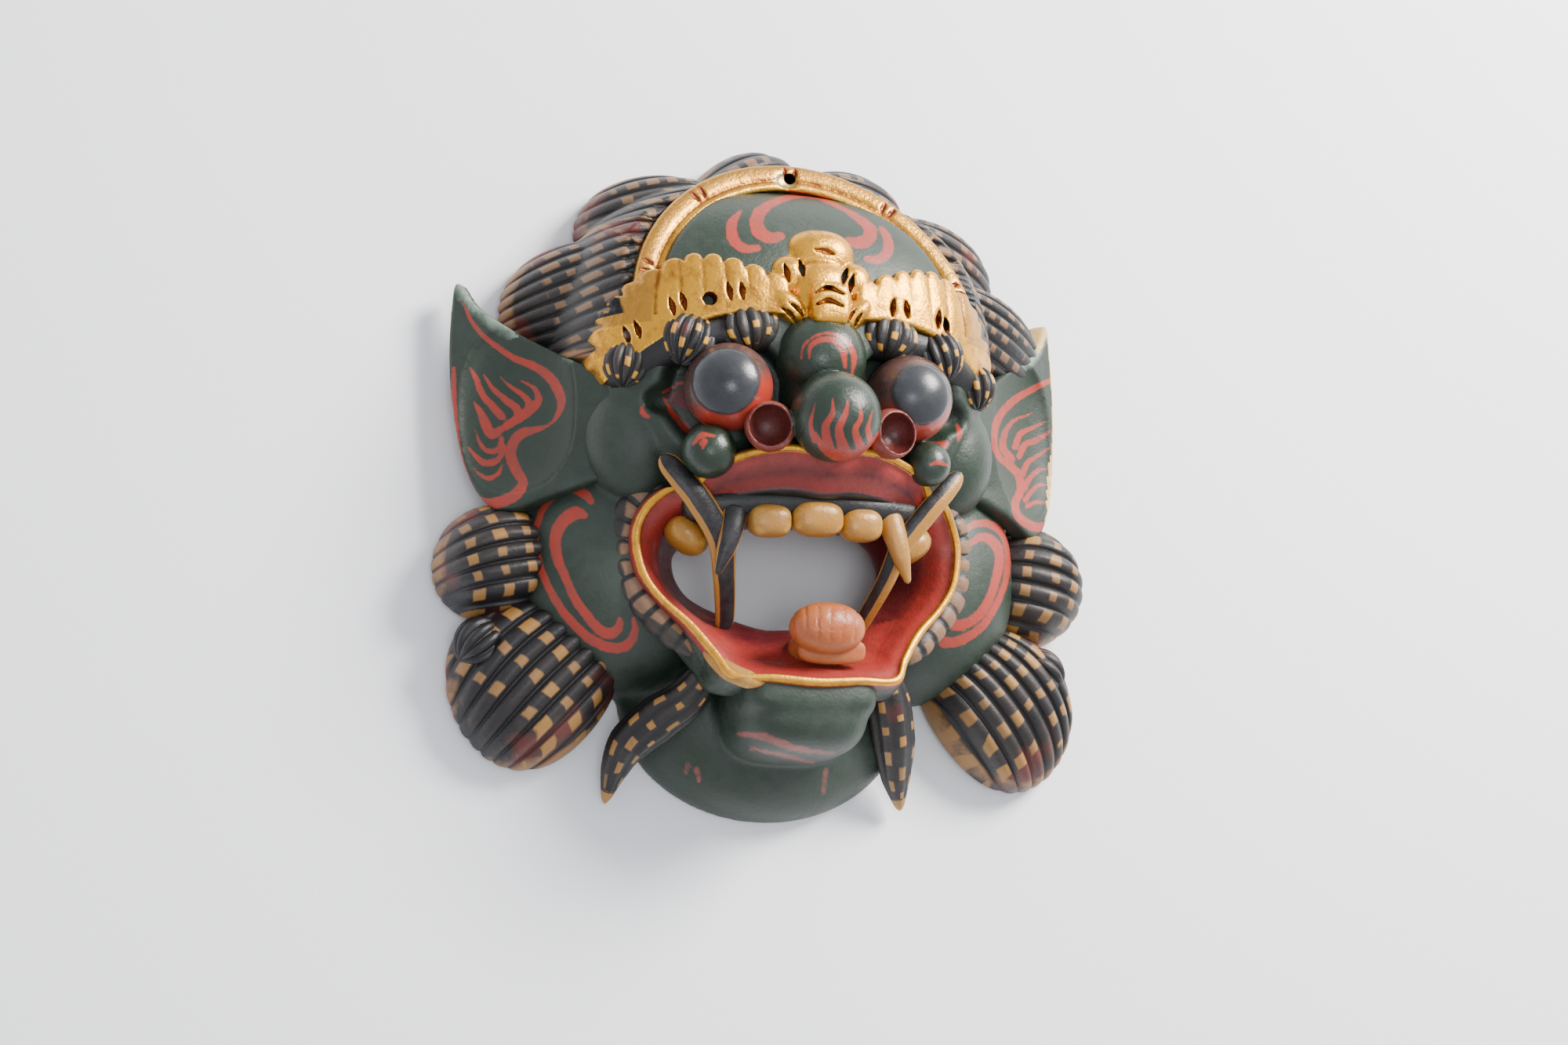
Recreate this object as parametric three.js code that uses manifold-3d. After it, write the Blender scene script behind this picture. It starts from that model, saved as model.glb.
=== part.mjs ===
// Carved and painted wooden barong mask, one solid, lying on its flat back.
// Millimetres. +Z points out of the face, +Y up the face, +X to the viewer's right; the back rim is z = 0.
import * as THREE from "three";
import { mergeVertices } from "three/addons/utils/BufferGeometryUtils.js";
import Module from "manifold-3d";

const wasm = await Module();
wasm.setup();

// Driving sizes
const maskHeight = 244; // top lock of hair to the foot of the throat
const faceWall = 9; // wood left between the face and the hollow behind it
const jawWall = 12; // wood left behind the cheeks and the chin
const earThickness = 8;
const hairRaise = 2.4; // how far the hair stands off the brow
const goldRaise = 3; // how far the diadem stands off the forehead
const slitWidth = 2; // carved slits in the gold work
const slitDepth = 3.2;
const hangingHoleRadius = 1.7; // nail hole at the top of the crown band
const pegHoleRadius = 2.3; // blind hole in the left wing of the diadem
const pegHoleDepth = 5;
const hairGroove = 1.3; // depth of the grooves between strands
const curlGroove = 1.2;

// The carver's grid: the mask is 244 steps tall, and every place on it is given in steps.
const gridSteps = 244;
const step = maskHeight / gridSteps;
const halfHeight = maskHeight / 2;
const place = (x, y, z) => new THREE.Vector3(x, y, z).multiplyScalar(step);
const mirrored = ([x, y, z], side) => [x * side, y, z];
const bothSides = [1, -1];
const degrees = THREE.MathUtils.degToRad;

// Turns a geometry into a closed solid, with its faces pointing out.
function solidOf(geometry) {
  const bare = new THREE.BufferGeometry();
  bare.setAttribute("position", geometry.getAttribute("position"));
  if (geometry.index) bare.setIndex(geometry.index);
  const merged = mergeVertices(bare, 1e-4);
  const points = merged.getAttribute("position");
  const corners = merged.index.array;
  const [a, b, c] = [0, 1, 2].map(() => new THREE.Vector3());
  let volume = 0;
  for (let i = 0; i < corners.length; i += 3) {
    a.fromBufferAttribute(points, corners[i]);
    b.fromBufferAttribute(points, corners[i + 1]);
    c.fromBufferAttribute(points, corners[i + 2]);
    volume += a.dot(b.cross(c));
  }
  const triVerts = new Uint32Array(corners);
  if (volume < 0) triVerts.reverse();
  return new wasm.Manifold(new wasm.Mesh({ numProp: 3, vertProperties: new Float32Array(points.array), triVerts }));
}

const joined = (solids) => solids.reduce((whole, next) => whole.add(next));

// An ellipsoid in grid steps. square above 2 makes it boxier; ribs groove it from pole to pole.
function ball(at, radii, { square = 2, turn = [0, 0, 0], sides = 16, rings = 10, ribs = 0, grow = 0, stand = null } = {}) {
  const around = ribs ? ribs * 2 : sides;
  const geometry = new THREE.SphereGeometry(1, around, rings);
  const points = geometry.getAttribute("position");
  const size = new THREE.Vector3(...radii).multiplyScalar(step).addScalar(grow);
  const narrowest = Math.min(size.x, size.z);
  const point = new THREE.Vector3();
  for (let i = 0; i < points.count; i++) {
    point.fromBufferAttribute(points, i);
    const inGroove = ribs && (i % (around + 1)) % 2 === 1;
    const waist = Math.sin((Math.PI * Math.floor(i / (around + 1))) / rings);
    const power = ["x", "y", "z"].reduce((sum, axis) => sum + Math.abs(point[axis]) ** square, 0);
    point.multiplyScalar(power ** (-1 / square)).multiply(size);
    if (inGroove) point.multiplyScalar(1 - (waist * curlGroove) / narrowest);
    points.setXYZ(i, point.x, point.y, point.z);
  }
  const [x, y, z] = turn.map(degrees);
  geometry.applyMatrix4(new THREE.Matrix4().makeRotationFromEuler(new THREE.Euler(x, y, z, "ZYX")));
  const centre = place(...at);
  geometry.translate(centre.x, centre.y, centre.z);
  return solidOf(stand ? geometry.applyMatrix4(stand) : geometry);
}

// Skins rings of points, and closes the ends with fans.
function loft(rings) {
  const count = rings[0].length;
  const points = rings.flat();
  const corners = [];
  for (let r = 0; r + 1 < rings.length; r++) {
    for (let i = 0; i < count; i++) {
      const [here, next] = [r * count + i, r * count + ((i + 1) % count)];
      corners.push(here, next, next + count, here, next + count, here + count);
    }
  }
  for (const [first, flip] of [[0, true], [(rings.length - 1) * count, false]]) {
    const middle = new THREE.Vector3();
    for (let i = 0; i < count; i++) middle.addScaledVector(points[first + i], 1 / count);
    points.push(middle);
    for (let i = 0; i < count; i++) {
      const [here, next] = [first + i, first + ((i + 1) % count)];
      corners.push(points.length - 1, ...(flip ? [next, here] : [here, next]));
    }
  }
  return solidOf(new THREE.BufferGeometry().setFromPoints(points).setIndex(corners));
}

// A tapering strand along a smooth path, with an oval section. widths are half widths along the path.
function strand(path, widths, { depth = 1, sides = 8, steps = 10, beads = 0, bead = 0 } = {}) {
  const curve = new THREE.CatmullRomCurve3(path.map((p) => place(...p)));
  const up = new THREE.Vector3(0, 0, 1);
  const rings = [];
  const count = beads ? beads * 2 : steps;
  for (let k = 0; k <= count; k++) {
    const along = k / count;
    const tangent = curve.getTangent(along);
    const across = new THREE.Vector3().crossVectors(tangent, up).normalize();
    const out = new THREE.Vector3().crossVectors(across, tangent).normalize();
    const slot = along * (widths.length - 1);
    const left = Math.min(Math.floor(slot), widths.length - 2);
    const groove = beads && k % 2 === 0 ? bead : 0;
    const width = THREE.MathUtils.lerp(widths[left], widths[left + 1], slot - left) * step - groove;
    const centre = curve.getPoint(along);
    rings.push(
      Array.from({ length: sides }, (_, i) => {
        const angle = (2 * Math.PI * (i + 0.5)) / sides;
        return centre
          .clone()
          .addScaledVector(across, width * Math.cos(angle))
          .addScaledVector(out, width * depth * Math.sin(angle));
      }),
    );
  }
  return loft(rings);
}

// A lock of hair: a rounded pad on the back plane, grooved along its length by strands side by side.
function lock({ at, reach, spread, heading, inner, outer, edge, strands, bend = 0 }, side = 1) {
  const [columns, rows] = [strands * 2, at[1] > 0 ? 5 : 3];
  const floor = -4 * step; // below the back plane, where the whole is cut flat
  const undercut = 0.16; // the sides of a lock lean in towards the back
  const turn = side > 0 ? degrees(heading) : Math.PI - degrees(heading);
  const top = [];
  for (let r = 0; r <= rows; r++) {
    for (let c = 0; c <= columns; c++) {
      const [a, b] = [(2 * r) / rows - 1, (2 * c) / columns - 1];
      const along = a * Math.sqrt(1 - (b * b) / 2);
      const across = b * Math.sqrt(1 - (a * a) / 2);
      const swell = Math.sqrt(Math.max(0, 1 - (along ** 2 + across ** 2) ** 1.3));
      const crest = THREE.MathUtils.lerp(inner, outer, (along + 1) / 2);
      const groove = c % 2 === 0 ? hairGroove * Math.min(1, 2 * swell) : 0;
      const bowed = side * (across * spread + bend * (1 - along * along));
      const x = along * reach * Math.cos(turn) - bowed * Math.sin(turn);
      const y = along * reach * Math.sin(turn) + bowed * Math.cos(turn);
      const crestPoint = [at[0] * side + x, at[1] + y];
      const point = place(...crestPoint, Math.max(edge + (crest - edge) * swell, skinUnderHair(...crestPoint)));
      point.z -= groove;
      top.push(point);
    }
  }
  const index = (r, c) => r * (columns + 1) + c;
  const corners = [];
  for (let r = 0; r < rows; r++) {
    for (let c = 0; c < columns; c++) {
      corners.push(index(r, c), index(r + 1, c), index(r + 1, c + 1));
      corners.push(index(r, c), index(r + 1, c + 1), index(r, c + 1));
    }
  }
  const border = [];
  for (let c = 0; c < columns; c++) border.push(index(0, c));
  for (let r = 0; r < rows; r++) border.push(index(r, columns));
  for (let c = columns; c > 0; c--) border.push(index(rows, c));
  for (let r = rows; r > 0; r--) border.push(index(r, 0));
  const foot = place(at[0] * side, at[1], 0).setZ(floor);
  const points = [...top, ...border.map((i) => top[i].clone().setZ(floor).lerp(foot, undercut)), foot];
  const middle = points.length - 1;
  border.forEach((here, i) => {
    const next = border[(i + 1) % border.length];
    const [below, belowNext] = [top.length + i, top.length + ((i + 1) % border.length)];
    corners.push(here, next, belowNext, here, belowNext, below, below, belowNext, middle);
  });
  return solidOf(new THREE.BufferGeometry().setFromPoints(points).setIndex(corners));
}

// A flat outline in grid steps, cut out as a board and stood where matrix says.
function board(outline, thickness, matrix, below = 0) {
  const shape = new THREE.Shape(outline.map(([x, y]) => new THREE.Vector2(x * step, y * step)));
  const geometry = new THREE.ExtrudeGeometry(shape, { depth: thickness, bevelEnabled: false, steps: 1 });
  return solidOf(geometry.translate(0, 0, below).applyMatrix4(matrix));
}

// Rounded points along a hand-drawn outline
function smooth(outline, count) {
  const curve = new THREE.SplineCurve(outline.map(([x, y]) => new THREE.Vector2(x, y)));
  return curve.getPoints(count).map((p) => [p.x, p.y]);
}

// Head
const brow = { at: [0, 35, 5], radii: [80, 68, 71], square: 2.6 }; // forehead, temples and eye region in one dome
const cheek = { at: [51, -33, 5], radii: [43, 46, 40] };
const cheekbone = { at: [56, 5, 38], radii: [20, 24, 20] };
const chin = { at: [0, -83, 33], radii: [28, 22, 28.5] };
const throat = { at: [0, -80, 3], radii: [53, 42, 27] };
const eye = { at: [33, 17, 71], radii: [15.5, 15.5, 15.5] };
const thirdEye = { at: [0, 29, 73], radii: [16, 15.5, 15] };
const nose = { at: [0, 5, 86], radii: [15.5, 15.5, 15.5] };
const nostril = { at: [22, 1, 81], radii: [8.8, 8.8, 8] };
const wart = { at: [41, -7, 70], radii: [9.5, 9.5, 9.5] };

function head() {
  const parts = [
    ball(brow.at, brow.radii, { square: brow.square, sides: 22, rings: 12 }),
    ball(chin.at, chin.radii, { square: 3.2, sides: 12, rings: 8 }),
    ball(throat.at, throat.radii, { sides: 12, rings: 8 }),
    ball(thirdEye.at, thirdEye.radii, { sides: 12, rings: 8 }),
    ball(nose.at, nose.radii, { sides: 12, rings: 8 }),
  ];
  for (const side of bothSides) {
    parts.push(ball(mirrored(cheek.at, side), cheek.radii, { square: 2.2, sides: 14, rings: 8 }));
    parts.push(ball(mirrored(cheekbone.at, side), cheekbone.radii, { sides: 12, rings: 8 }));
    parts.push(ball(mirrored(eye.at, side), eye.radii, { sides: 12, rings: 8 }));
    parts.push(ball(mirrored(wart.at, side), wart.radii, { sides: 9, rings: 6 }));
    const cup = ball(mirrored(nostril.at, side), nostril.radii, { sides: 10, rings: 6 });
    const [x, y, z] = nostril.at;
    const inside = ball(mirrored([x + 1, y, z + 6], side), nostril.radii.map((r) => r - 2), { sides: 10, rings: 6 });
    parts.push(cup.subtract(inside));
  }
  return joined(parts);
}

// Mouth: half outlines from the top middle round the right side to the bottom middle
const rimEdge = [
  [0, -7.5, 80], [15, -6, 79], [28, -8, 73.5], [38, -12, 67.5], [43, -18, 61], [49, -17, 57], [55, -22, 50],
  [58, -31, 47], [56, -43, 47], [50, -52, 48], [41, -61, 51], [34, -71, 55], [29, -79, 59], [15, -80, 62],
  [0, -81, 63],
];
const throatEdge = [
  [0, -24, 40], [9, -24, 39], [16, -24, 37], [23, -24, 34], [29, -25, 30], [34, -27, 26], [37, -30, 23],
  [38.5, -34, 22], [37.5, -40, 22], [34, -46, 23], [29, -50, 25], [24, -53, 28], [18, -56, 30], [9, -59, 33],
  [0, -59, 34],
];
const innerLip = [
  [0, -20, 70], [10, -19, 70], [20, -19, 67], [29, -20, 62], [35, -22, 57], [41, -23, 51], [46, -27, 43],
  [48, -33, 38], [47, -42, 37], [42, -50, 38], [35, -58, 41], [29, -65, 45], [24, -71, 49], [12, -73, 51],
  [0, -73, 52],
];
const mouthCentre = [0, -42];
const lipEdge = 2.6; // width of the lip's edge
const lipRoot = 11; // how much further out the lip stands at its root
const lipRootHeight = 14;

// A ring of points round the mouth, moved out from its centre and set to a height
function mouthRing(half, { out = 0, lift = 0, height = null } = {}) {
  const whole = [...half, ...half.slice(1, -1).reverse().map(([x, y, z]) => [-x, y, z])];
  const curve = new THREE.CatmullRomCurve3(whole.map((p) => new THREE.Vector3(...p)), true);
  return curve.getPoints(30).slice(0, -1).map((p) => {
    const away = new THREE.Vector2(p.x - mouthCentre[0], p.y - mouthCentre[1]).normalize();
    const at = place(p.x, p.y, height ?? p.z + lift);
    return at.add(new THREE.Vector3(away.x * out, away.y * out, 0));
  });
}

function lips() {
  const root = mouthRing(rimEdge, { out: lipRoot, height: lipRootHeight });
  const swell = mouthRing(rimEdge, { out: lipEdge + 2, lift: -12 });
  return loft([root, swell, mouthRing(rimEdge, { out: lipEdge })]);
}

function mouthOpening() {
  const rings = [mouthRing(throatEdge, { height: -10 }), mouthRing(throatEdge), mouthRing(innerLip)];
  return loft([...rings, mouthRing(rimEdge), mouthRing(rimEdge, { height: 140 })]);
}

function tongue() {
  const tip = ball([1, -63, 63], [15, 9.5, 11], { square: 2.3, sides: 10, rings: 6 });
  const root = ball([1, -70, 55], [14, 6, 9], { sides: 8, rings: 5 });
  const bed = ball([0, -66, 44], [19, 10, 12], { sides: 8, rings: 5 });
  return joined([tip, root, bed]);
}

const frontTeeth = [
  { at: [0, -26, 65], radii: [9.3, 6.6, 5.5] },
  { at: [17, -27, 63], radii: [7.4, 6.6, 5.5] },
  { at: [-17, -27, 63], radii: [7.4, 6.6, 5.5] },
];

function teeth() {
  const parts = frontTeeth.map(({ at, radii }) => ball(at, radii, { square: 2.6, sides: 8, rings: 4 }));
  parts.push(strand([[-44, -22, 52], [-33, -20, 59], [0, -18, 64], [33, -20, 59], [44, -22, 52]], [7, 7, 7], { sides: 6, steps: 6 }));
  for (const side of bothSides) {
    parts.push(strand([[28, -22, 61], [31, -34, 62], [35, -46, 60]].map((p) => mirrored(p, side)), [5, 4.2, 1], { sides: 7, steps: 5 }));
    parts.push(ball(mirrored([41, -30, 47], side), [8, 5.5, 8], { turn: [0, 0, 35 * side], sides: 8, rings: 5 }));
  }
  return joined(parts);
}

const tuskPath = [[24, -60, 34], [26, -54, 42], [29.5, -44, 52], [33, -33, 59], [41, -22, 63], [48, -14, 64], [55, -6, 63]];

function tusks() {
  return joined(bothSides.map((side) =>
    strand(tuskPath.map((p) => mirrored(p, side)), [4, 4.2, 4.6, 5.2, 5.4, 5, 3], { depth: 0.8, steps: 9 })));
}

// Moustache: a beaded roll of hair round the corners of the mouth
const moustachePath = [[42, -9, 50], [52, -13, 44], [59.5, -21, 41], [62, -32, 39], [60.5, -43, 39], [54, -54, 41], [46, -63, 43], [38, -71, 45]];

function moustache() {
  return joined(bothSides.map((side) =>
    strand(moustachePath.map((p) => mirrored(p, side)), [5, 5.6, 5.6, 5.6, 5.4, 5, 4.4], { beads: 8, bead: 0.9, sides: 6 })));
}

// Brow curls
const browCurls = [
  { at: [25.5, 38.5, 71], radii: [12, 8.5, 9], tilt: -12, ribs: 7 },
  { at: [45.5, 34, 67], radii: [10, 9.5, 9.5], tilt: 20, ribs: 6 },
  { at: [64, 27, 55], radii: [8.5, 8, 9], tilt: 10, ribs: 6 },
];

function curls() {
  const parts = [];
  for (const side of bothSides) {
    for (const { at, radii, tilt, ribs } of browCurls) {
      parts.push(ball(mirrored(at, side), radii, { turn: [0, 0, tilt * side], ribs, rings: 4 }));
    }
    parts.push(strand([[14, 36, 72], [33, 37, 68], [50, 33, 63], [70, 22, 48]].map((p) => mirrored(p, side)), [6, 7, 7, 6], { sides: 6, steps: 5 }));
  }
  return joined(parts);
}

// Crown band: an arch round the forehead, leaning back towards its top
const crown = { centre: [0, 43], inside: 54, outside: 63, low: 62, lowAt: 46, lean: 0.28, root: -24 };
const crownSteps = 20;
const crownNotches = 5;

function crownHeight(y) {
  return crown.low - (y - crown.lowAt) * crown.lean;
}

function crownPoint(radius, angle, rise) {
  const y = crown.centre[1] + radius * Math.sin(angle);
  return place(crown.centre[0] + radius * Math.cos(angle), y, crownHeight(y) + rise);
}

function crownBand() {
  const { inside, outside, root } = crown;
  const fillet = inside + 2.4;
  const section = [
    [outside + 1, root], [outside, 0], [outside - 1, 1.6], [fillet + 1, 1.8], [fillet, -0.6], [inside + 0.8, 0.6], [inside - 0.4, 0],
    [inside - 1, root],
  ];
  const [first, last] = [degrees(-3), degrees(183)];
  const rings = Array.from({ length: crownSteps + 1 }, (_, k) => {
    const angle = THREE.MathUtils.lerp(first, last, k / crownSteps);
    return section.map(([radius, rise]) => crownPoint(radius, angle, rise));
  });
  let band = loft(rings);
  for (let n = 0; n < crownNotches; n++) {
    const angle = degrees(18 + (144 * n) / (crownNotches - 1));
    for (const apart of [-0.03, 0.03]) {
      const at = crownPoint(outside - 1, angle + apart, 1.5).divideScalar(step).toArray();
      band = band.subtract(ball(at, [3.4, slitWidth / 2 / step, slitDepth / step / 1.6], { turn: [0, 0, THREE.MathUtils.radToDeg(angle)], sides: 4, rings: 2 }));
    }
  }
  return band;
}

// Diadem: two gold wings over the brows and a stacked ornament between them
const wingFoot = [[14, 42], [30, 42], [46, 38], [60, 30], [70, 22]];
const wingTop = [[73, 24], [71, 44], [62, 55], [45, 63], [30, 61], [14, 54]];
const wingScallops = 5;
const wingSlits = [[57, 46], [30, 52]];

function wingOutline() {
  const top = smooth(wingTop, wingScallops * 2);
  const scalloped = top.map(([x, y], i) => {
    const swell = i % 2 === 0 ? -0.9 : 0.9;
    return [x + swell * 0.4, y + swell];
  });
  return [...smooth(wingFoot, 6), ...scalloped];
}

function slit(x, y, z, lean, length = 4.4) {
  return ball([x, y, z], [slitWidth / 2 / step, length, slitDepth / step], { turn: [0, 0, lean], sides: 4, rings: 4 });
}

// Height of the brow dome over a place, raised by the gold
function browHeight(x, y, raise) {
  const [rx, ry, rz] = brow.radii.map((r) => r + raise / step);
  const rest = 1 - Math.abs((x - brow.at[0]) / rx) ** brow.square - Math.abs((y - brow.at[1]) / ry) ** brow.square;
  return brow.at[2] + rz * Math.max(0, rest) ** (1 / brow.square);
}

function diadem() {
  const skin = ball(brow.at, brow.radii, { square: brow.square, sides: 22, rings: 12, grow: goldRaise });
  const parts = [];
  for (const side of bothSides) {
    const outline = wingOutline().map(([x, y]) => [x * side, y]);
    let wing = board(outline, 80 * step, new THREE.Matrix4().makeTranslation(0, 0, 20 * step)).intersect(skin);
    for (const [x, y] of wingSlits) {
      for (const apart of [-2.2, 2.2]) {
        const z = browHeight(x, y, goldRaise);
        wing = wing.subtract(slit((x + apart) * side, y, z, 12 * side));
      }
    }
    parts.push(wing);
  }
  const [pegX, pegY] = [-40, 47];
  const peg = new THREE.CylinderGeometry(pegHoleRadius, pegHoleRadius, pegHoleDepth * 2, 12).rotateX(Math.PI / 2);
  const pegAt = place(pegX, pegY, browHeight(pegX, pegY, goldRaise));
  return joined(parts).subtract(solidOf(peg.translate(pegAt.x, pegAt.y, pegAt.z)));
}

// Height that hair has at least where it lies on the brow, outside the crown
function skinUnderHair(x, y) {
  const outside = Math.hypot(x - crown.centre[0], y - crown.centre[1]) > crown.outside;
  return outside && y > crown.centre[1] ? browHeight(x, y, hairRaise) : 0;
}

function ornament() {
  let stack = joined([
    ball([1, 62, 68], [17, 13, 9], { square: 2.4, sides: 10, rings: 6 }),
    ball([1, 67, 66], [12, 11, 11], { sides: 8, rings: 6 }),
    ball([0, 50, 73], [12, 12, 11], { square: 3, sides: 10, rings: 6 }),
    ball([0, 44, 76], [10, 9, 10], { square: 2.6, sides: 8, rings: 6 }),
    ...bothSides.map((side) => ball([17 * side, 52, 70], [8, 7, 7], { turn: [0, 0, 25 * side], sides: 8, rings: 5 })),
  ]);
  for (const side of bothSides) {
    stack = stack.subtract(slit(12 * side, 61, 76, 15 * side, 4));
  }
  for (const y of [54, 48]) {
    stack = stack.subtract(ball([0, y, y > 50 ? 83 : 85], [6, slitWidth / 2 / step, slitDepth / step], { sides: 4, rings: 4 }));
  }
  return stack.subtract(ball([1, 70, 77], [5.5, 1.4, 3], { sides: 6, rings: 4 }));
}

// Hair behind the crown, and the side locks under the ears
const crownLocks = [
  { at: [-3, 100, 0], reach: 24, spread: 21.5, heading: 18, inner: 40, outer: 32, edge: 9, strands: 6 },
  { at: [31, 97, 0], reach: 28, spread: 20, heading: -8, inner: 46, outer: 28, edge: 9, strands: 6 },
  { at: [61, 80, 0], reach: 32, spread: 20, heading: -13, inner: 56, outer: 24, edge: 9, strands: 6 },
  { at: [79, 56, 0], reach: 33, spread: 19, heading: -16, inner: 60, outer: 22, edge: 9, strands: 6 },
];
const leftLocks = [
  { at: [39, 89, 0], reach: 29, spread: 19.5, heading: -8, inner: 48, outer: 26, edge: 9, strands: 7 },
  { at: [64, 58, 0], reach: 32, spread: 24.5, heading: -14, inner: 62, outer: 24, edge: 9, strands: 9 },
  { at: [97.5, -36, 0], reach: 23, spread: 20.5, heading: -12, inner: 30, outer: 32, edge: 12, strands: 6, bend: 2 },
  { at: [83, -75, 0], reach: 33, spread: 26, heading: -44, inner: 34, outer: 22, edge: 7, strands: 8, bend: 5 },
];
const rightLocks = [
  { at: [100, -36, 0], reach: 22.5, spread: 22, heading: -12, inner: 30, outer: 32, edge: 12, strands: 6, bend: 2 },
  { at: [86, -80, 0], reach: 33, spread: 26.5, heading: -47, inner: 34, outer: 22, edge: 7, strands: 8, bend: 5 },
];

function hair() {
  const right = [...crownLocks, ...rightLocks].map((each) => lock(each));
  return joined([...right, ...leftLocks.map((each) => lock(each, -1))]);
}

// Pointed tufts beside the chin
const tuftPaths = [
  [[33, -70, 36], [38, -82, 30], [43, -94, 21], [47, -106, 12], [51, -117, 5]],
  [[-33, -70, 36], [-39, -81, 30], [-47, -93, 20], [-54, -105, 11], [-59, -118, 4]],
];

function tufts() {
  return joined(tuftPaths.map((path) => strand(path, [8, 9.5, 9, 7, 1.2], { depth: 0.9, sides: 8, steps: 6 })));
}

// Ears: scooped boards leaning back from the temples
const ear = { root: [73, 0, 47], lean: 40 };
const earOutline = [
  [-8, 24], [4, 29], [19, 37.5], [33, 46], [46, 56], [53, 65], [55.5, 50], [56, 33], [54, 14], [50, -3], [43, -15],
  [34, -19.5], [20, -16], [6, -12], [-8, -4],
];
const earScoop = { at: [29, 17], radii: [23, 29, 7] };

function ears() {
  return joined(bothSides.map((side) => {
    const stand = new THREE.Matrix4().makeScale(side, 1, 1);
    stand.multiply(new THREE.Matrix4().makeTranslation(place(...ear.root)));
    stand.multiply(new THREE.Matrix4().makeRotationY(degrees(ear.lean)));
    const blade = board(smooth(earOutline, 24), earThickness, stand, -earThickness);
    const scoop = ball([...earScoop.at, 2.5], earScoop.radii, { square: 2.6, sides: 12, rings: 6, stand });
    return blade.subtract(scoop);
  }));
}

// Hollow back
function hollow() {
  const upper = ball([brow.at[0], brow.at[1] - 2, brow.at[2] - 4], brow.radii, { square: brow.square, sides: 14, rings: 8, grow: -faceWall });
  const lower = ball([0, -45, -6], [60, 60, 44], { sides: 12, rings: 7, grow: -jawWall });
  const sides = bothSides.map((side) => ball(mirrored([44, -33, 2], side), cheek.radii, { sides: 10, rings: 6, grow: -jawWall }));
  return joined([upper, lower, ...sides]);
}

function hangingHole() {
  const nail = new THREE.CylinderGeometry(hangingHoleRadius, hangingHoleRadius, 140 * step, 12).rotateX(Math.PI / 2);
  const at = crownPoint((crown.inside + crown.outside) / 2, Math.PI / 2, 0);
  return solidOf(nail.translate(at.x, at.y, at.z));
}

// The whole carving, cut flat at the back
function carving() {
  let wood = joined([head(), lips(), hair(), tufts(), ears(), moustache(), curls(), crownBand(), diadem(), ornament()]);
  wood = wood.subtract(mouthOpening()).subtract(hollow());
  wood = joined([wood, teeth(), tusks(), tongue()]).subtract(hangingHole());
  const half = new THREE.BoxGeometry(2 * maskHeight, 2 * maskHeight, maskHeight).translate(0, 0, halfHeight);
  return wood.intersect(solidOf(half));
}

function meshOf(name, solid, material) {
  const { vertProperties, triVerts } = solid.getMesh();
  const geometry = new THREE.BufferGeometry();
  geometry.setAttribute("position", new THREE.BufferAttribute(vertProperties, 3));
  geometry.setIndex(new THREE.BufferAttribute(triVerts, 1));
  geometry.computeVertexNormals();
  const mesh = new THREE.Mesh(geometry, material);
  mesh.name = name;
  return mesh;
}

const paintedWood = new THREE.MeshStandardMaterial({ color: 0x2f4038, roughness: 0.6, metalness: 0 });
const group = new THREE.Group();
group.add(meshOf("mask", carving(), paintedWood));

export default group;
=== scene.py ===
import math
import bpy
import numpy as np
import openvdb
from mathutils import Matrix, Vector


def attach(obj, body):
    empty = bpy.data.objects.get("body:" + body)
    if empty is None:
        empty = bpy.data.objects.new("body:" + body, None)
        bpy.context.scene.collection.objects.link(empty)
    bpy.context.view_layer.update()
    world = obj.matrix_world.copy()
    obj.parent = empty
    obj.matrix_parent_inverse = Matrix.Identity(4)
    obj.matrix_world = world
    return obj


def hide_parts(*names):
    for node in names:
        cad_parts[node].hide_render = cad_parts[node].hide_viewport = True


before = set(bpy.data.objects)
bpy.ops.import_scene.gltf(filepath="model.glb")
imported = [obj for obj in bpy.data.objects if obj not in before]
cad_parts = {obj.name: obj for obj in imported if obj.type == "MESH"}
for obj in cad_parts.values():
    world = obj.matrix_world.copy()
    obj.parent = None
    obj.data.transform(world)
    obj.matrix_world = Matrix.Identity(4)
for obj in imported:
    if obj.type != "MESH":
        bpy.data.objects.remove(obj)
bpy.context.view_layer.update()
print("frame loaded")

# The carving is worked out in millimetres, with the solid's own places, and turned to metres at the end.
sides = (1, -1)
metre = 0.001  # metres in a millimetre
farAway = 9.0  # mm, a distance at which nothing is painted or cut


# The camera, the floor and the light
view = {
    "turnLeft": 20.0, "turnDown": 12.5, "roll": -1.5, "distance": 1300.0, "aimRight": 11.3, "aimUp": -12.71,
    "lens": 82.84, "sensor": 36.0, "steps": 2000, "rows": 1333,
}


def makeCamera():
    a, b, g = (math.radians(view[key]) for key in ("turnLeft", "turnDown", "roll"))
    back = Vector((-math.sin(a) * math.cos(b), -math.sin(b), math.cos(a) * math.cos(b)))
    right = Vector((math.cos(a), 0, math.sin(a)))
    up = back.cross(right)
    right, up = math.cos(g) * right + math.sin(g) * up, -math.sin(g) * right + math.cos(g) * up
    spot = (back * view["distance"] + right * view["aimRight"] + up * view["aimUp"]) * metre
    data = bpy.data.cameras.new("camera")
    data.lens, data.sensor_width = view["lens"], view["sensor"]
    camera = bpy.data.objects.new("camera", data)
    turn = Matrix((right, up, back)).transposed()
    camera.matrix_world = Matrix.Translation(spot) @ turn.to_4x4()
    bpy.context.scene.collection.objects.link(camera)
    bpy.context.scene.camera = camera
    return right, up, back


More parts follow.
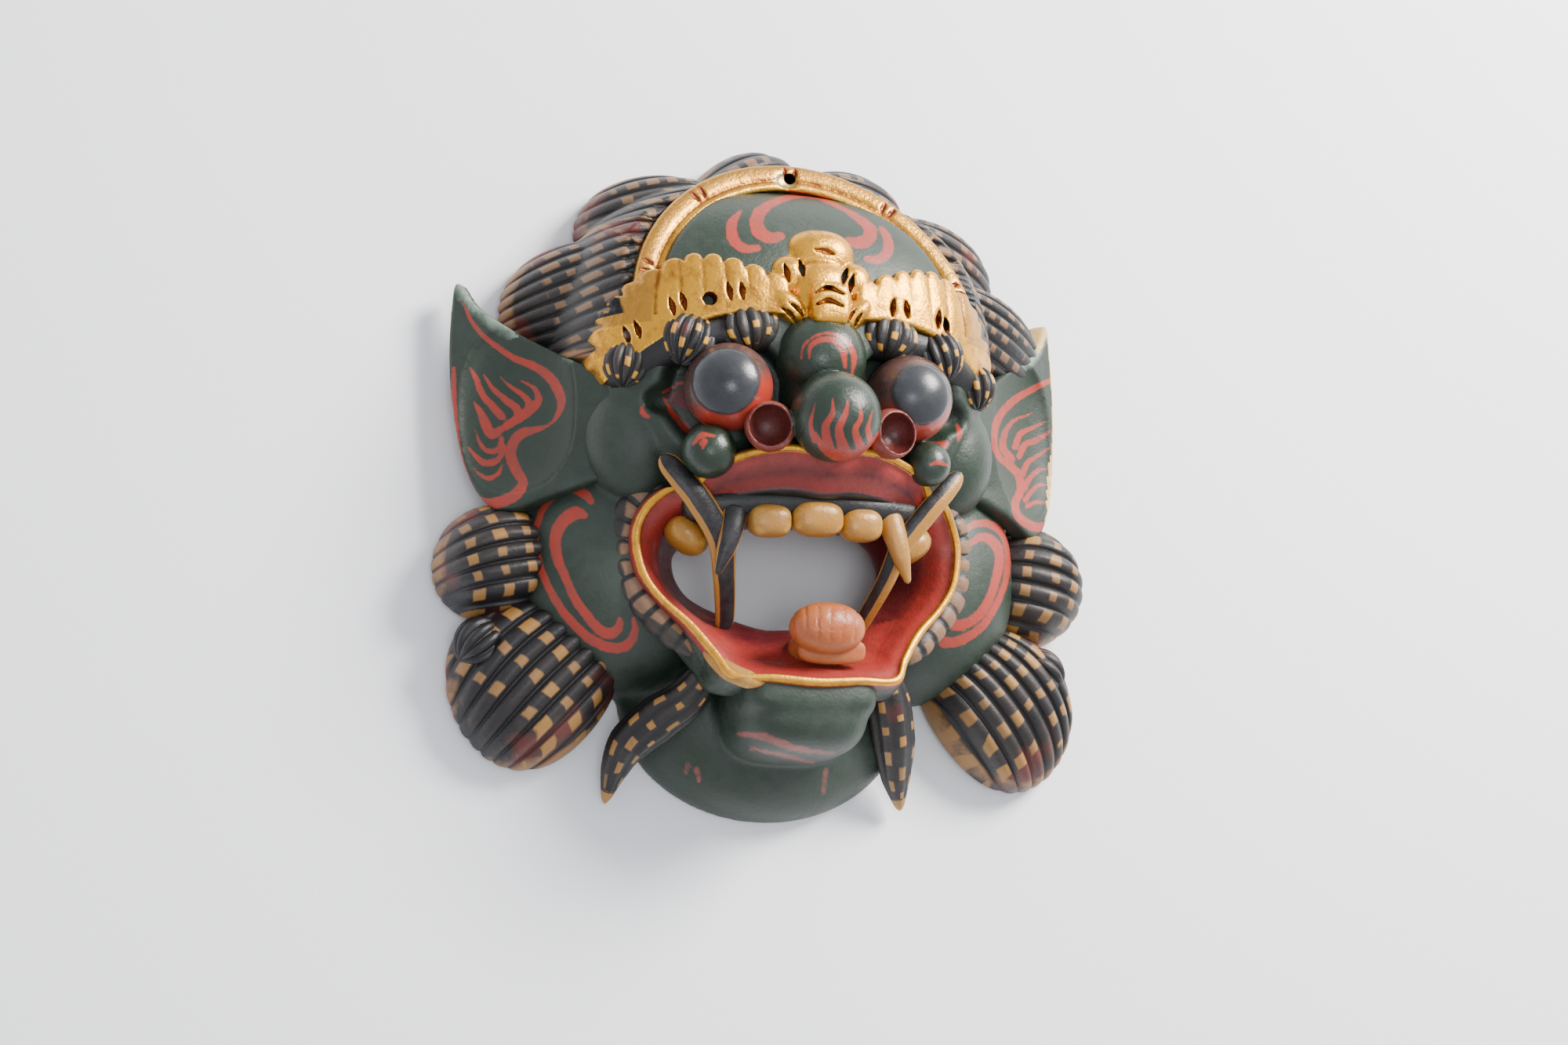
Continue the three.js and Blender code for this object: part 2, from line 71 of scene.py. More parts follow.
right, up, back = makeCamera()
studio = {
    "floorColor": (0.95, 0.97, 1.0), "floorSize": 6.0, "floorDrop": 0.0004, "floorRough": 0.85,
    "worldColor": (0.93, 0.94, 1.0), "worldLight": 0.96,
    "keyLight": {"spot": (0.75, 0.62, 0.80), "power": 46.0, "size": 0.5, "color": (1.0, 0.97, 0.92)},
    "fillLight": {"spot": (-0.30, -0.30, 1.5), "power": 5.0, "size": 0.4, "color": (0.92, 0.95, 1.0)},
}


def makeLamp(name):
    lamp = studio[name]
    data = bpy.data.lights.new(name, "AREA")
    data.energy, data.size, data.color = lamp["power"], lamp["size"], lamp["color"]
    light = bpy.data.objects.new(name, data)
    turn = Vector(lamp["spot"]).to_track_quat("Z", "Y").to_matrix().to_4x4()
    light.matrix_world = Matrix.Translation(lamp["spot"]) @ turn
    bpy.context.scene.collection.objects.link(light)


def makeStudio():
    half, low = studio["floorSize"] / 2, -studio["floorDrop"]
    corners = [(-half, -half, low), (half, -half, low), (half, half, low), (-half, half, low)]
    mesh = bpy.data.meshes.new("floor")
    mesh.from_pydata(corners, [], [(0, 1, 2, 3)])
    floor = bpy.data.objects.new("floor", mesh)
    bpy.context.scene.collection.objects.link(floor)
    material = bpy.data.materials.new("paleFloor")
    material.use_nodes = True
    shader = material.node_tree.nodes["Principled BSDF"]
    shader.inputs["Base Color"].default_value = (*studio["floorColor"], 1)
    shader.inputs["Roughness"].default_value = studio["floorRough"]
    mesh.materials.append(material)
    world = bpy.data.worlds.new("softDaylight")
    world.use_nodes = True
    world.node_tree.nodes["Background"].inputs["Color"].default_value = (*studio["worldColor"], 1)
    world.node_tree.nodes["Background"].inputs["Strength"].default_value = studio["worldLight"]
    bpy.context.scene.world = world
    makeLamp("keyLight")
    makeLamp("fillLight")


makeStudio()
print("camera, floor and light made")


# Node graphs written as expressions: a Wire is one output, and its sums add Math nodes
class Wire:
    def __init__(self, tree, socket):
        self.tree, self.socket = tree, socket

    def calc(self, operation, *values, clamp=False):
        node = self.tree.nodes.new("ShaderNodeMath")
        node.operation, node.use_clamp = operation, clamp
        for slot, value in zip(node.inputs, values):
            plug(self.tree, slot, value)
        return Wire(self.tree, node.outputs[0])

    def __add__(self, other):
        return self.calc("ADD", self, other)

    def __radd__(self, other):
        return self.calc("ADD", other, self)

    def __sub__(self, other):
        return self.calc("SUBTRACT", self, other)

    def __rsub__(self, other):
        return self.calc("SUBTRACT", other, self)

    def __mul__(self, other):
        return self.calc("MULTIPLY", self, other)

    def __rmul__(self, other):
        return self.calc("MULTIPLY", other, self)

    def __truediv__(self, other):
        return self.calc("DIVIDE", self, other)

    def __rtruediv__(self, other):
        return self.calc("DIVIDE", other, self)

    def __pow__(self, other):
        return self.calc("POWER", self, other)

    def __abs__(self):
        return self.calc("ABSOLUTE", self)

    def fract(self):
        return self.calc("FRACT", self)

    def floor(self):
        return self.calc("FLOOR", self)

    def sqrt(self):
        return self.calc("SQRT", self)

    def sin(self):
        return self.calc("SINE", self)

    def cos(self):
        return self.calc("COSINE", self)

    def atLeast(self, other):
        return self.calc("MAXIMUM", self, other)

    def atMost(self, other):
        return self.calc("MINIMUM", self, other)

    def within(self, edge, soft):  # 1 where self is under edge, 0 above, with a soft step
        return self.calc("ADD", (edge - self) / (2 * soft), 0.5, clamp=True)


def plug(tree, slot, value):
    if isinstance(value, Wire):
        tree.links.new(value.socket, slot)
    elif value is not None:
        slot.default_value = value


class Graph:
    def __init__(self, tree):
        self.tree = tree

    def make(self, kind, settings=None, inputs=None, out=0):
        node = self.tree.nodes.new(kind)
        for key, value in (settings or {}).items():
            setattr(node, key, value)
        for key, value in (inputs or {}).items():
            plug(self.tree, node.inputs[key], value)
        return Wire(self.tree, node.outputs[out])

    def value(self, name):  # what is stored on the mesh under this name
        return self.make("ShaderNodeAttribute", {"attribute_name": name}, None, "Fac")

    def mix(self, amount, first, second):
        return self.make("ShaderNodeMix", {"data_type": "RGBA"}, {0: amount, 6: first, 7: second}, 2)

    def combine(self, x, y, z):
        return self.make("ShaderNodeCombineXYZ", None, {0: x, 1: y, 2: z})

    def noise(self, place, scale, detail=3.0, rough=0.55):
        settings = {"Vector": place, "Scale": scale, "Detail": detail, "Roughness": rough}
        return self.make("ShaderNodeTexNoise", None, settings)

    def roughen(self, shader, strength, fine, flecks):
        height = fine * 0.6 + flecks * 0.4
        settings = {"Strength": strength, "Distance": paintGrain["bump"], "Height": height}
        plug(self.tree, shader.inputs["Normal"], self.make("ShaderNodeBump", None, settings))


# Materials
colors = {
    "green": (0.013, 0.026, 0.015), "greenDusty": (0.042, 0.056, 0.047), "greenPale": (0.20, 0.28, 0.21),
    "greenDark": (0.008, 0.014, 0.010),
    "red": (0.35, 0.030, 0.016), "redDusty": (0.20, 0.042, 0.030), "redDark": (0.075, 0.006, 0.008),
    "redBrown": (0.17, 0.022, 0.014), "faintRed": (0.24, 0.055, 0.045), "lipRed": (0.30, 0.026, 0.021),
    "gold": (0.72, 0.35, 0.028), "goldDark": (0.26, 0.10, 0.012), "goldPale": (0.95, 0.57, 0.075),
    "bandGold": (0.50, 0.24, 0.035), "bandWorn": (0.30, 0.14, 0.03), "ochre": (0.38, 0.175, 0.028),
    "tan": (0.30, 0.15, 0.05), "tanPink": (0.18, 0.095, 0.06), "patchTan": (0.22, 0.115, 0.048),
    "patchGold": (0.43, 0.21, 0.035), "patchBrown": (0.20, 0.105, 0.045),
    "black": (0.009, 0.008, 0.009), "blackDusty": (0.034, 0.032, 0.037), "hairDusty": (0.066, 0.046, 0.032),
    "eye": (0.014, 0.016, 0.020), "eyeDusty": (0.042, 0.045, 0.050),
    "lidBrown": (0.060, 0.030, 0.026), "lidDusty": (0.20, 0.085, 0.070),
    "wood": (0.46, 0.30, 0.15), "woodDark": (0.20, 0.115, 0.052), "cream": (0.55, 0.38, 0.16),
    "rawEdge": (0.085, 0.048, 0.030), "orange": (0.38, 0.085, 0.022), "orangePale": (0.40, 0.17, 0.055),
}
paintGrain = {"broad": 28.0, "fine": 260.0, "wobble": 420.0, "flecks": 900.0, "bump": 0.0006}  # noise scales


def withAlpha(name):
    return (*colors[name], 1)


def agedPaint(name, base, dusty, layers, rough=0.55, metal=0.0, dustAmount=0.55, grain=0.5,
              edgeWearAndHighlight=None, edgeWearAndHighlightAmount=0.5, hollowGrimeAndShade=None, shine=None, fleck=0.8):
    # layers: (attribute in mm, colour, its worn colour, soft edge in mm, wobble in mm), one over the other
    # the edge colour is rubbed paint and also a painted highlight on convex edges, the hollow colour is grime
    # and painted shade in the hollows, and shine names the layer that is metal
    material = bpy.data.materials.new(name)
    material.use_nodes = True
    tree = material.node_tree
    graph = Graph(tree)
    shader = tree.nodes["Principled BSDF"]
    place = graph.make("ShaderNodeTexCoord", None, None, "Object")
    broad = graph.noise(place, paintGrain["broad"], 3.0)
    fine = graph.noise(place, paintGrain["fine"], 4.0, 0.6)
    flecks = graph.noise(place, paintGrain["flecks"], 2.0, 0.6)
    dust = ((broad - 0.42) * 3.0 * dustAmount + (fine - 0.5) * fleck).atLeast(0.0).atMost(1.0)
    color = graph.mix(dust, withAlpha(base), withAlpha(dusty))
    wobble = graph.noise(place, paintGrain["wobble"], 2.0) - 0.5
    fade = ((fine - 0.40) * 2.2 + (broad - 0.5) * 1.2).atLeast(0.0).atMost(1.0)
    for attribute, paint, worn, soft, shake in layers:
        mask = (graph.value(attribute) + wobble * (2 * shake)).within(0.0, soft)
        color = graph.mix(mask, color, graph.mix(fade, withAlpha(paint), withAlpha(worn)))
        if attribute == shine:
            plug(tree, shader.inputs["Metallic"], mask * 0.75)
    shape = graph.make("ShaderNodeNewGeometry", None, None, "Pointiness")
    # painted shade: darker in the hollows, found from pointiness, for grime and the shade that falls there
    if hollowGrimeAndShade:
        grimeAndShade = ((0.485 - shape) * 16.0 + (fine - 0.5) * 1.2).atLeast(0.0).atMost(1.0) * 0.85
        color = graph.mix(grimeAndShade, color, withAlpha(hollowGrimeAndShade))
    # painted highlight: paler on convex edges, found from pointiness, for rubbed paint and the light that
    # catches them
    if edgeWearAndHighlight:
        wornAndLitEdge = ((shape - 0.515) * 28.0 + (fine - 0.5) * 2.2 - 0.25).atLeast(0.0).atMost(1.0) * edgeWearAndHighlightAmount
        color = graph.mix(wornAndLitEdge, color, withAlpha(edgeWearAndHighlight))
    plug(tree, shader.inputs["Base Color"], color)
    dull = rough + (broad - 0.5) * 0.3 + (fine - 0.5) * 0.25
    plug(tree, shader.inputs["Roughness"], dull.atLeast(0.15).atMost(0.95))
    if not shine:
        shader.inputs["Metallic"].default_value = metal
    graph.roughen(shader, grain, fine, flecks)
    return material


# Shapes as distances: each is (function of x, y, z in mm, low corner, high corner), negative inside.
def rotation(turn):
    x, y, z = (math.radians(v) for v in turn)
    return np.array(Matrix.Rotation(z, 3, "Z") @ Matrix.Rotation(y, 3, "Y") @ Matrix.Rotation(x, 3, "X"))


def ovoid(at, radii, square=2.0, turn=(0, 0, 0)):
    spin = rotation(turn)

    def distance(x, y, z):
        p = [x - at[0], y - at[1], z - at[2]]
        if any(turn):
            p = [p[0] * spin[0, k] + p[1] * spin[1, k] + p[2] * spin[2, k] for k in range(3)]
        a = [np.abs(p[k] / radii[k]) + 1e-5 for k in range(3)]
        if square == 2.0:
            f = np.sqrt(a[0] ** 2 + a[1] ** 2 + a[2] ** 2)
            slope = np.sqrt(sum((a[k] / radii[k]) ** 2 for k in range(3)))
            return f * (f - 1) / slope
        f = (a[0] ** square + a[1] ** square + a[2] ** square) ** (1 / square)
        slope = np.sqrt(sum((a[k] ** (square - 1) / radii[k]) ** 2 for k in range(3)))
        return (f - 1) / slope * f ** (square - 1)

    reach = max(radii) if any(turn) else None
    low = [at[k] - (reach or radii[k]) for k in range(3)]
    high = [at[k] + (reach or radii[k]) for k in range(3)]
    return distance, low, high


def smoothPath(path, count):
    # Catmull-Rom through the points, evenly by knot
    points = np.array(path, float)
    padded = np.vstack([2 * points[0] - points[1], points, 2 * points[-1] - points[-2]])
    out = []
    for t in np.linspace(0, len(points) - 1, count):
        k = min(int(t), len(points) - 2)
        f = t - k
        a, b, c, d = padded[k:k + 4]
        bend, twist = 2 * a - 5 * b + 4 * c - d, 3 * b - a - 3 * c + d
        out.append(0.5 * (2 * b + (c - a) * f + bend * f * f + twist * f ** 3))
    return np.array(out)


def strokeDistance(u, v, path, widths, count=18):
    points = smoothPath(path, count)
    radii = np.interp(np.linspace(0, 1, count), np.linspace(0, 1, len(widths)), widths)
    best = np.full(np.shape(u), 99.0)
    for (a, b), ra, rb in zip(zip(points[:-1], points[1:]), radii[:-1], radii[1:]):
        e = b - a
        t = np.clip(((u - a[0]) * e[0] + (v - a[1]) * e[1]) / (e @ e + 1e-9), 0, 1)
        gap = np.hypot(u - a[0] - t * e[0], v - a[1] - t * e[1]) - (ra + (rb - ra) * t)
        best = np.minimum(best, gap)
    return best


def outlineDistance(u, v, outline):
    # signed distance to a closed outline in a plane, negative inside
    points = np.array(outline, float)
    best = np.full(np.broadcast(u, v).shape, 1e9)
    inside = np.zeros(best.shape, bool)
    for a, b in zip(points, np.roll(points, -1, 0)):
        e = b - a
        t = np.clip(((u - a[0]) * e[0] + (v - a[1]) * e[1]) / (e @ e + 1e-9), 0, 1)
        best = np.minimum(best, (u - a[0] - t * e[0]) ** 2 + (v - a[1] - t * e[1]) ** 2)
        crosses = ((a[1] > v) != (b[1] > v)) & (u < (b[0] - a[0]) * (v - a[1]) / (b[1] - a[1] + 1e-12) + a[0])
        inside ^= crosses
    return np.where(inside, -np.sqrt(best), np.sqrt(best))


def softMin(a, b, k):
    if not k:
        return np.minimum(a, b)
    h = np.clip(0.5 + 0.5 * (b - a) / k, 0, 1)
    return b + (a - b) * h - k * h * (1 - h)


class Clay:  # a box of cells that hold their distance to the surface in mm
    def __init__(self, low, high, grain):
        self.low, self.grain = np.array(low, float), grain
        self.size = [int((high[k] - low[k]) / grain) + 2 for k in range(3)]
        self.field = np.full(self.size, farAway, np.float32)

    def block(self, low, high, pad):
        cut, axes = [], []
        for k in range(3):
            a = max(0, int((low[k] - pad - self.low[k]) / self.grain))
            b = min(self.size[k], int((high[k] + pad - self.low[k]) / self.grain) + 2)
            shape = [1, 1, 1]
            shape[k] = -1
            ticks = self.low[k] + np.arange(a, max(a, b)) * self.grain
            axes.append(ticks.reshape(shape).astype(np.float32))
            cut.append(slice(a, max(a, b)))
        return tuple(cut), axes

    def add(self, shape, blend=0.0):
        cut, (x, y, z) = self.block(shape[1], shape[2], blend + 4)
        self.field[cut] = softMin(self.field[cut], shape[0](x, y, z), blend)

    def cut(self, shape, blend=0.0):
        cut, (x, y, z) = self.block(shape[1], shape[2], blend + 4)
        self.field[cut] = -softMin(-self.field[cut], shape[0](x, y, z), blend)

    def surface(self):
        grid = openvdb.FloatGrid(farAway)
        grid.copyFromArray(np.clip(self.field, -4, farAway))
        points, quads = grid.convertToQuads(isovalue=0.0)
        return points * self.grain + self.low, quads


# Painted motifs are drawn as the camera sees them, in steps to the right and down on the picture.
def seen(x, y, z):
    side, rise, depth = (x * axis[0] + y * axis[1] + z * axis[2] for axis in (right, up, back))
    reach = view["steps"] * view["lens"] / view["sensor"] / (view["distance"] - depth)
    across = view["steps"] / 2 + (side - view["aimRight"]) * reach
    return across, view["rows"] / 2 - (rise - view["aimUp"]) * reach


stepSize = 0.267  # mm on the mask for one step of the picture
strokeReach = 14  # steps round a stroke within which its distance is worked out


def painted(points, strokes, count=22):
    # distance in mm to the nearest of the strokes, each (path, half widths) in steps
    u, v = seen(*points.T)
    best = np.full(len(points), farAway)
    for path, widths in strokes:
        spots, margin = np.array(path, float), max(widths) + strokeReach
        low, high = spots.min(0) - margin, spots.max(0) + margin
        near = np.nonzero((u > low[0]) & (u < high[0]) & (v > low[1]) & (v < high[1]))[0]
        gap = strokeDistance(u[near], v[near], path, widths, count) * stepSize
        best[near] = np.minimum(best[near], gap)
    return best


def carve(clay, path, widths, depth, steep=1.3, count=10):
    # a groove cut into what is already there, along a stroke of the picture
    spots = np.array(path, float)
    if not hasattr(clay, "picture"):
        x, y, z = (clay.low[k] + np.arange(clay.size[k]) * clay.grain for k in range(3))
        seenFrom = seen(x[:, None, None], y[None, :, None], z[None, None, :])
        clay.picture = [part.astype(np.float32) for part in seenFrom]
    u, v = clay.picture
    low, high = spots.min(0) - max(widths) - 6, spots.max(0) + max(widths) + 6
    framed = (u > low[0]) & (u < high[0]) & (v > low[1]) & (v < high[1])
    near = np.nonzero(framed & (np.abs(clay.field) < depth + 3))
    stroke = strokeDistance(u[near], v[near], path, widths, count) * stepSize
    clay.field[near] = np.maximum(clay.field[near], np.minimum(-stroke * steep, clay.field[near] + depth))


# Pieces
madePieces = []


def makePiece(name, points, faces, material, attributes=None):
    points = np.asarray(points, float)
    faces = np.asarray(faces)
    corners = points[faces]
    volume = np.einsum("ij,ij->", corners[:, 0], np.cross(corners[:, 1], corners[:, 2]))
    if faces.shape[1] == 4:
        volume += np.einsum("ij,ij->", corners[:, 0], np.cross(corners[:, 2], corners[:, 3]))
    if volume < 0:
        faces = faces[:, ::-1]
    mesh = bpy.data.meshes.new(name)
    mesh.vertices.add(len(points))
    mesh.vertices.foreach_set("co", (points * metre).astype(np.float32).ravel())
    mesh.loops.add(faces.size)
    mesh.loops.foreach_set("vertex_index", faces.astype(np.int32).ravel())
    mesh.polygons.add(len(faces))
    starts = np.arange(0, faces.size, faces.shape[1], dtype=np.int32)
    mesh.polygons.foreach_set("loop_start", starts)
    mesh.update(calc_edges=True)
    mesh.validate()
    mesh.polygons.foreach_set("use_smooth", [True] * len(mesh.polygons))
    for key, values in (attributes or {}).items():
        layer = mesh.attributes.new(key, "FLOAT", "POINT")
        values = np.asarray(values, np.float32)
        values = np.concatenate([values, np.full(len(points) - len(values), values[-1], np.float32)])
        layer.data.foreach_set("value", values)
    piece = bpy.data.objects.new(name, mesh)
    bpy.context.scene.collection.objects.link(piece)
    finishPiece(piece, material)


def finishPiece(piece, material):
    piece.data.materials.clear()
    piece.data.materials.append(material)
    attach(piece, "root")
    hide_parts("mask")
    madePieces.append(piece)
    count = sum(len(p.vertices) - 2 for p in piece.data.polygons)
    print("piece", piece.name, count, "triangles")


def closedGrid(rings, loop=False):
    # rings of points to quads; the ends are closed with a fan of quads to a middle point, or joined in a loop
    rings = np.asarray(rings, float)
    rows, count = rings.shape[:2]
    points = rings.reshape(-1, 3)
    i = np.arange(count)
    faces = []
    for r in range(rows if loop else rows - 1):
        a, b = r * count, ((r + 1) % rows) * count
        faces.append(np.stack([a + i, a + (i + 1) % count, b + (i + 1) % count, b + i], 1))
    faces = np.concatenate(faces)
    if loop:
        return points, faces
    extra = [rings[0].mean(0), rings[-1].mean(0)]
    caps = []
    for first, middle, flip in ((0, len(points), True), ((rows - 1) * count, len(points) + 1, False)):
        for k in range(0, count, 2):
            quad = [first + k, first + (k + 1) % count, first + (k + 2) % count, middle]
            caps.append(quad[::-1] if flip else quad)
    return np.vstack([points, extra]), np.vstack([faces, caps])


def ribbedBall(at, radii, turn=(0, 0, 0), ribs=0, groove=0.0, square=2.0, around=48, rings=28):
    # poles lie along local y; returns rings and the strand and along values
    spin = rotation(turn)
    out, strand, along = [], [], []
    for r in range(1, rings):
        polar = math.pi * r / rings
        angle = np.arange(around) * 2 * math.pi / around
        ring = np.sin(polar)
        direction = np.stack([ring * np.cos(angle), np.full(around, np.cos(polar)), ring * np.sin(angle)], 1)
        scale = (np.abs(direction) ** square).sum(1) ** (-1 / square)
        local = direction * scale[:, None] * np.array(radii)
        position = angle / (2 * math.pi) * ribs if ribs else angle * 0
        if ribs:
            dip = 1 - np.abs(np.sin(math.pi * position)) ** 0.7
            local *= (1 - groove * math.sin(polar) * dip / min(radii[0], radii[2]))[:, None]
        out.append(local @ spin.T + np.array(at))
        strand.append(position)
        along.append(np.full(around, polar / math.pi))
    return np.array(out), np.concatenate(strand), np.concatenate(along)


def joinParts(parts):
    # parts: (points, faces, {attribute: values}); values are padded for the cap points
    points, faces, values, start = [], [], {}, 0
    for p, f, attributes in parts:
        points.append(p)
        faces.append(f + start)
        for key, value in attributes.items():
            value = np.asarray(value, float)
            value = np.concatenate([value, np.full(len(p) - len(value), value[-1])])
            values.setdefault(key, []).append(value)
        start += len(p)
    return np.vstack(points), np.vstack(faces), {key: np.concatenate(v) for key, v in values.items()}


def sweep(path, halfWidths, depth=1.0, around=24, steps=60, lobes=0, lobeDepth=0.0, beads=0,
          beadDepth=0.0, endRound=0.12):
    # a closed strand along a path; gives across (degrees round the section) and along (mm)
    centre = smoothPath(path, steps)
    widths = np.interp(np.linspace(0, 1, steps), np.linspace(0, 1, len(halfWidths)), halfWidths)
    t = np.linspace(0, 1, steps)
    fromEnd = (endRound - np.minimum(t, 1 - t)).clip(0) / endRound
    widths = widths * np.sqrt(np.clip(1 - fromEnd ** 2, 0.002, 1))
    tangent = np.gradient(centre, axis=0)
    tangent /= np.linalg.norm(tangent, axis=1)[:, None]
    across = np.cross(tangent, np.array([0.0, 0.0, 1.0]))
    across /= np.linalg.norm(across, axis=1)[:, None]
    out = np.cross(across, tangent)
    angle = (np.arange(around) + 0.5) * 2 * math.pi / around
    length = np.concatenate([[0], np.cumsum(np.linalg.norm(np.diff(centre, axis=0), axis=1))])
    scale = np.ones((steps, around))
    if lobes:
        scale -= lobeDepth * (1 - np.abs(np.cos(angle * lobes)) ** 0.6)[None, :]
    if beads:
        scale -= (beadDepth * (1 - np.abs(np.sin(math.pi * t * beads)) ** 0.5))[:, None]
    rings = centre[:, None] + widths[:, None, None] * scale[:, :, None] * (
        np.cos(angle)[None, :, None] * across[:, None] + depth * np.sin(angle)[None, :, None] * out[:, None])
    points, faces = closedGrid(rings)
    values = {"across": np.tile(np.degrees(angle), steps), "along": np.repeat(length, around)}
    return points, faces, values


# Outlines of the mouth, half of each from the top middle round to the bottom middle
throatEdge = [
    (0, -24, 40), (9, -24, 39), (16, -24, 37), (23, -24, 34), (29, -25, 30), (34, -27, 26), (37, -30, 23),
    (38.5, -34, 22), (37.5, -40, 22), (34, -46, 23), (29, -50, 25), (24, -53, 28), (18, -56, 30),
    (9, -59, 33), (0, -59, 34),
]
rimEdge = [
    (0, -7.5, 80), (15, -6, 79), (28, -8, 73.5), (38, -12, 67.5), (43, -18, 61), (49, -17, 57), (55, -22, 50),
    (58, -31, 47), (56, -43, 47), (50, -52, 48), (41, -61, 51), (34, -71, 55), (29, -79, 59), (15, -80, 62),
    (0, -81, 63),
]
innerLip = [
    (0, -20, 70), (10, -19, 70), (20, -19, 67), (29, -20, 62), (35, -22, 57), (41, -23, 51), (46, -27, 43),
    (48, -33, 38), (47, -42, 37), (42, -50, 38), (35, -58, 41), (29, -65, 45), (24, -71, 49), (12, -73, 51),
    (0, -73, 52),
]
mouth = {
    "centre": (0, -42), "points": 200, "skins": 90,
    "edge": 2.8, "clear": 1.2, "lipFrom": 0.5, "rimFrom": 0.82,
    "corner": [(-37.5, -70.5, 51.5), (-34.5, -74, 53.5), (-30, -78.5, 56.5), (-24, -81.5, 59),
               (-18, -82.5, 60)],
    "cornerWidths": [1.0, 2.4, 3.3, 3.2, 1.0],
}


def mouthLoop(half, out=0.0, lift=0.0):
    # the whole outline in even steps, moved outwards from the mouth's centre and up
    whole = bothHalves(half)
    loop = smoothPath(whole[-2:] + whole + whole[:3], 4 * mouth["points"])
    knots = np.linspace(0, len(whole) + 4, 4 * mouth["points"])
    wanted = np.linspace(2, len(whole) + 2, mouth["points"], endpoint=False)
    loop = np.stack([np.interp(wanted, knots, loop[:, k]) for k in range(3)], 1)
    away = loop[:, :2] - np.array(mouth["centre"])
    away /= np.linalg.norm(away, axis=1)[:, None]
    loop[:, :2] += away * out
    loop[:, 2] += lift
    return loop


def bothHalves(half):
    return list(half) + [(-p[0], *p[1:]) for p in half[-2:0:-1]]


def mouthFunnel(x, y, z):
    # the inside of the mouth, from the outlines of its throat, its lip and its rim
    flatX, flatY = x[:, :, 0], y[:, :, 0]
    loops = [mouthLoop(edge) for edge in (throatEdge, innerLip, rimEdge)]
    away = loops[2][:, :2] - np.array(mouth["centre"])
    heading = np.arctan2(flatY - mouth["centre"][1], flatX - mouth["centre"][0])
    height = np.interp(heading, np.arctan2(away[:, 1], away[:, 0]), loops[2][:, 2], period=2 * math.pi)
    t = z / height[:, :, None]
    low, middle, high = (outlineDistance(flatX, flatY, loop[::4, :2])[:, :, None] for loop in loops)
    lipFrom, rimFrom = mouth["lipFrom"], mouth["rimFrom"]
    lower = low + (middle - low) * np.clip((t - lipFrom) / (rimFrom - lipFrom), 0, 1)
    return lower + (high - middle) * np.clip((t - rimFrom) / (1 - rimFrom), 0, 1) - mouth["clear"]


# The head: brow, cheeks, chin and throat, cut flat and hollowed at the back
brow = {"at": (0, 35, 5), "radii": (80, 68, 71), "square": 2.6}
headShape = {
    "grain": 1.25, "box": ((-100, -126, -2), (100, 112, 84)), "floor": 0.15,
    "cheekbone": ((56, 5, 38), (20, 24, 20)), "cheek": ((51, -33, 5), (43, 46, 40)),
    "chin": ((0, -85, 33), (24.2, 20, 27.5)), "chinTop": ((0, -80.5, 34), (24.6, 12, 27.5)),
    "throat": ((0, -80, 3), (53, 42, 27)), "wall": 9.0, "jawWall": 12.0,
    "socket": ((33, 16, 68), (22, 20, 17)), "corner": ((52, 14, 62), (9, 5, 7)),
    "socketBox": ((-62, -12, 30), (62, 48, 72)), "socketWall": 3.5,
    "socketMiddle": 18, "socketReach": (60, 28),
    "hiddenDepth": 1.5,  # how near the hollow the pieces on the face may come, inside its wall
    "hollowAt": (0, 33, 1), "jawHollow": ((0, -45, -6), (60, 60, 44)), "cheekHollow": (44, -33, 2),
}


def mirror(place, side):
    return (place[0] * side, *place[1:])


def slab(outline, low, high):
    # an upright block with a drawn outline
    points = np.array(outline, float)

    def distance(x, y, z):
        flat = outlineDistance(x[:, :, 0], y[:, :, 0], points)
        return np.maximum(np.maximum(flat[:, :, None], low - z), z - high)

    return distance, [*points.min(0), low], [*points.max(0), high]


def hollowShapes(extra=0.0):
    # the hollow behind the brow, the jaw and the cheeks; extra makes the walls thinner
    wall, jawWall = headShape["wall"] - extra, headShape["jawWall"] - extra
    jawAt, jawRadii = headShape["jawHollow"]
    upper = ovoid(headShape["hollowAt"], [r - wall for r in brow["radii"]], brow["square"])
    lower = ovoid(jawAt, [r - jawWall for r in jawRadii])
    cheekRadii = [r - jawWall for r in headShape["cheek"][1]]
    return [upper, lower] + [ovoid(mirror(headShape["cheekHollow"], side), cheekRadii) for side in sides]


def hollowTop(x, y, extra):
    a, b, c = (r - headShape["wall"] + extra for r in brow["radii"])
    rest = 1 - np.abs(x / a) ** brow["square"] - np.abs((y - headShape["hollowAt"][1]) / b) ** brow["square"]
    return headShape["hollowAt"][2] + c * np.clip(rest, 0, 1) ** (1 / brow["square"])


def hollowDistance(x, y, z):
    best = None
    for shape in hollowShapes():
        d = shape[0](x, y, z)
        best = d if best is None else softMin(best, d, 4)
    return best


def socketFloor(x, y, z):
    # the wall that is left under the eyes
    depth = hollowDistance(x, y, z)
    reachX, reachY = headShape["socketReach"]
    aside = np.maximum(np.abs(x) - reachX, np.abs(y - headShape["socketMiddle"]) - reachY) + 0 * z
    return np.maximum(np.maximum(0.1 - depth, depth - headShape["socketWall"]), aside)


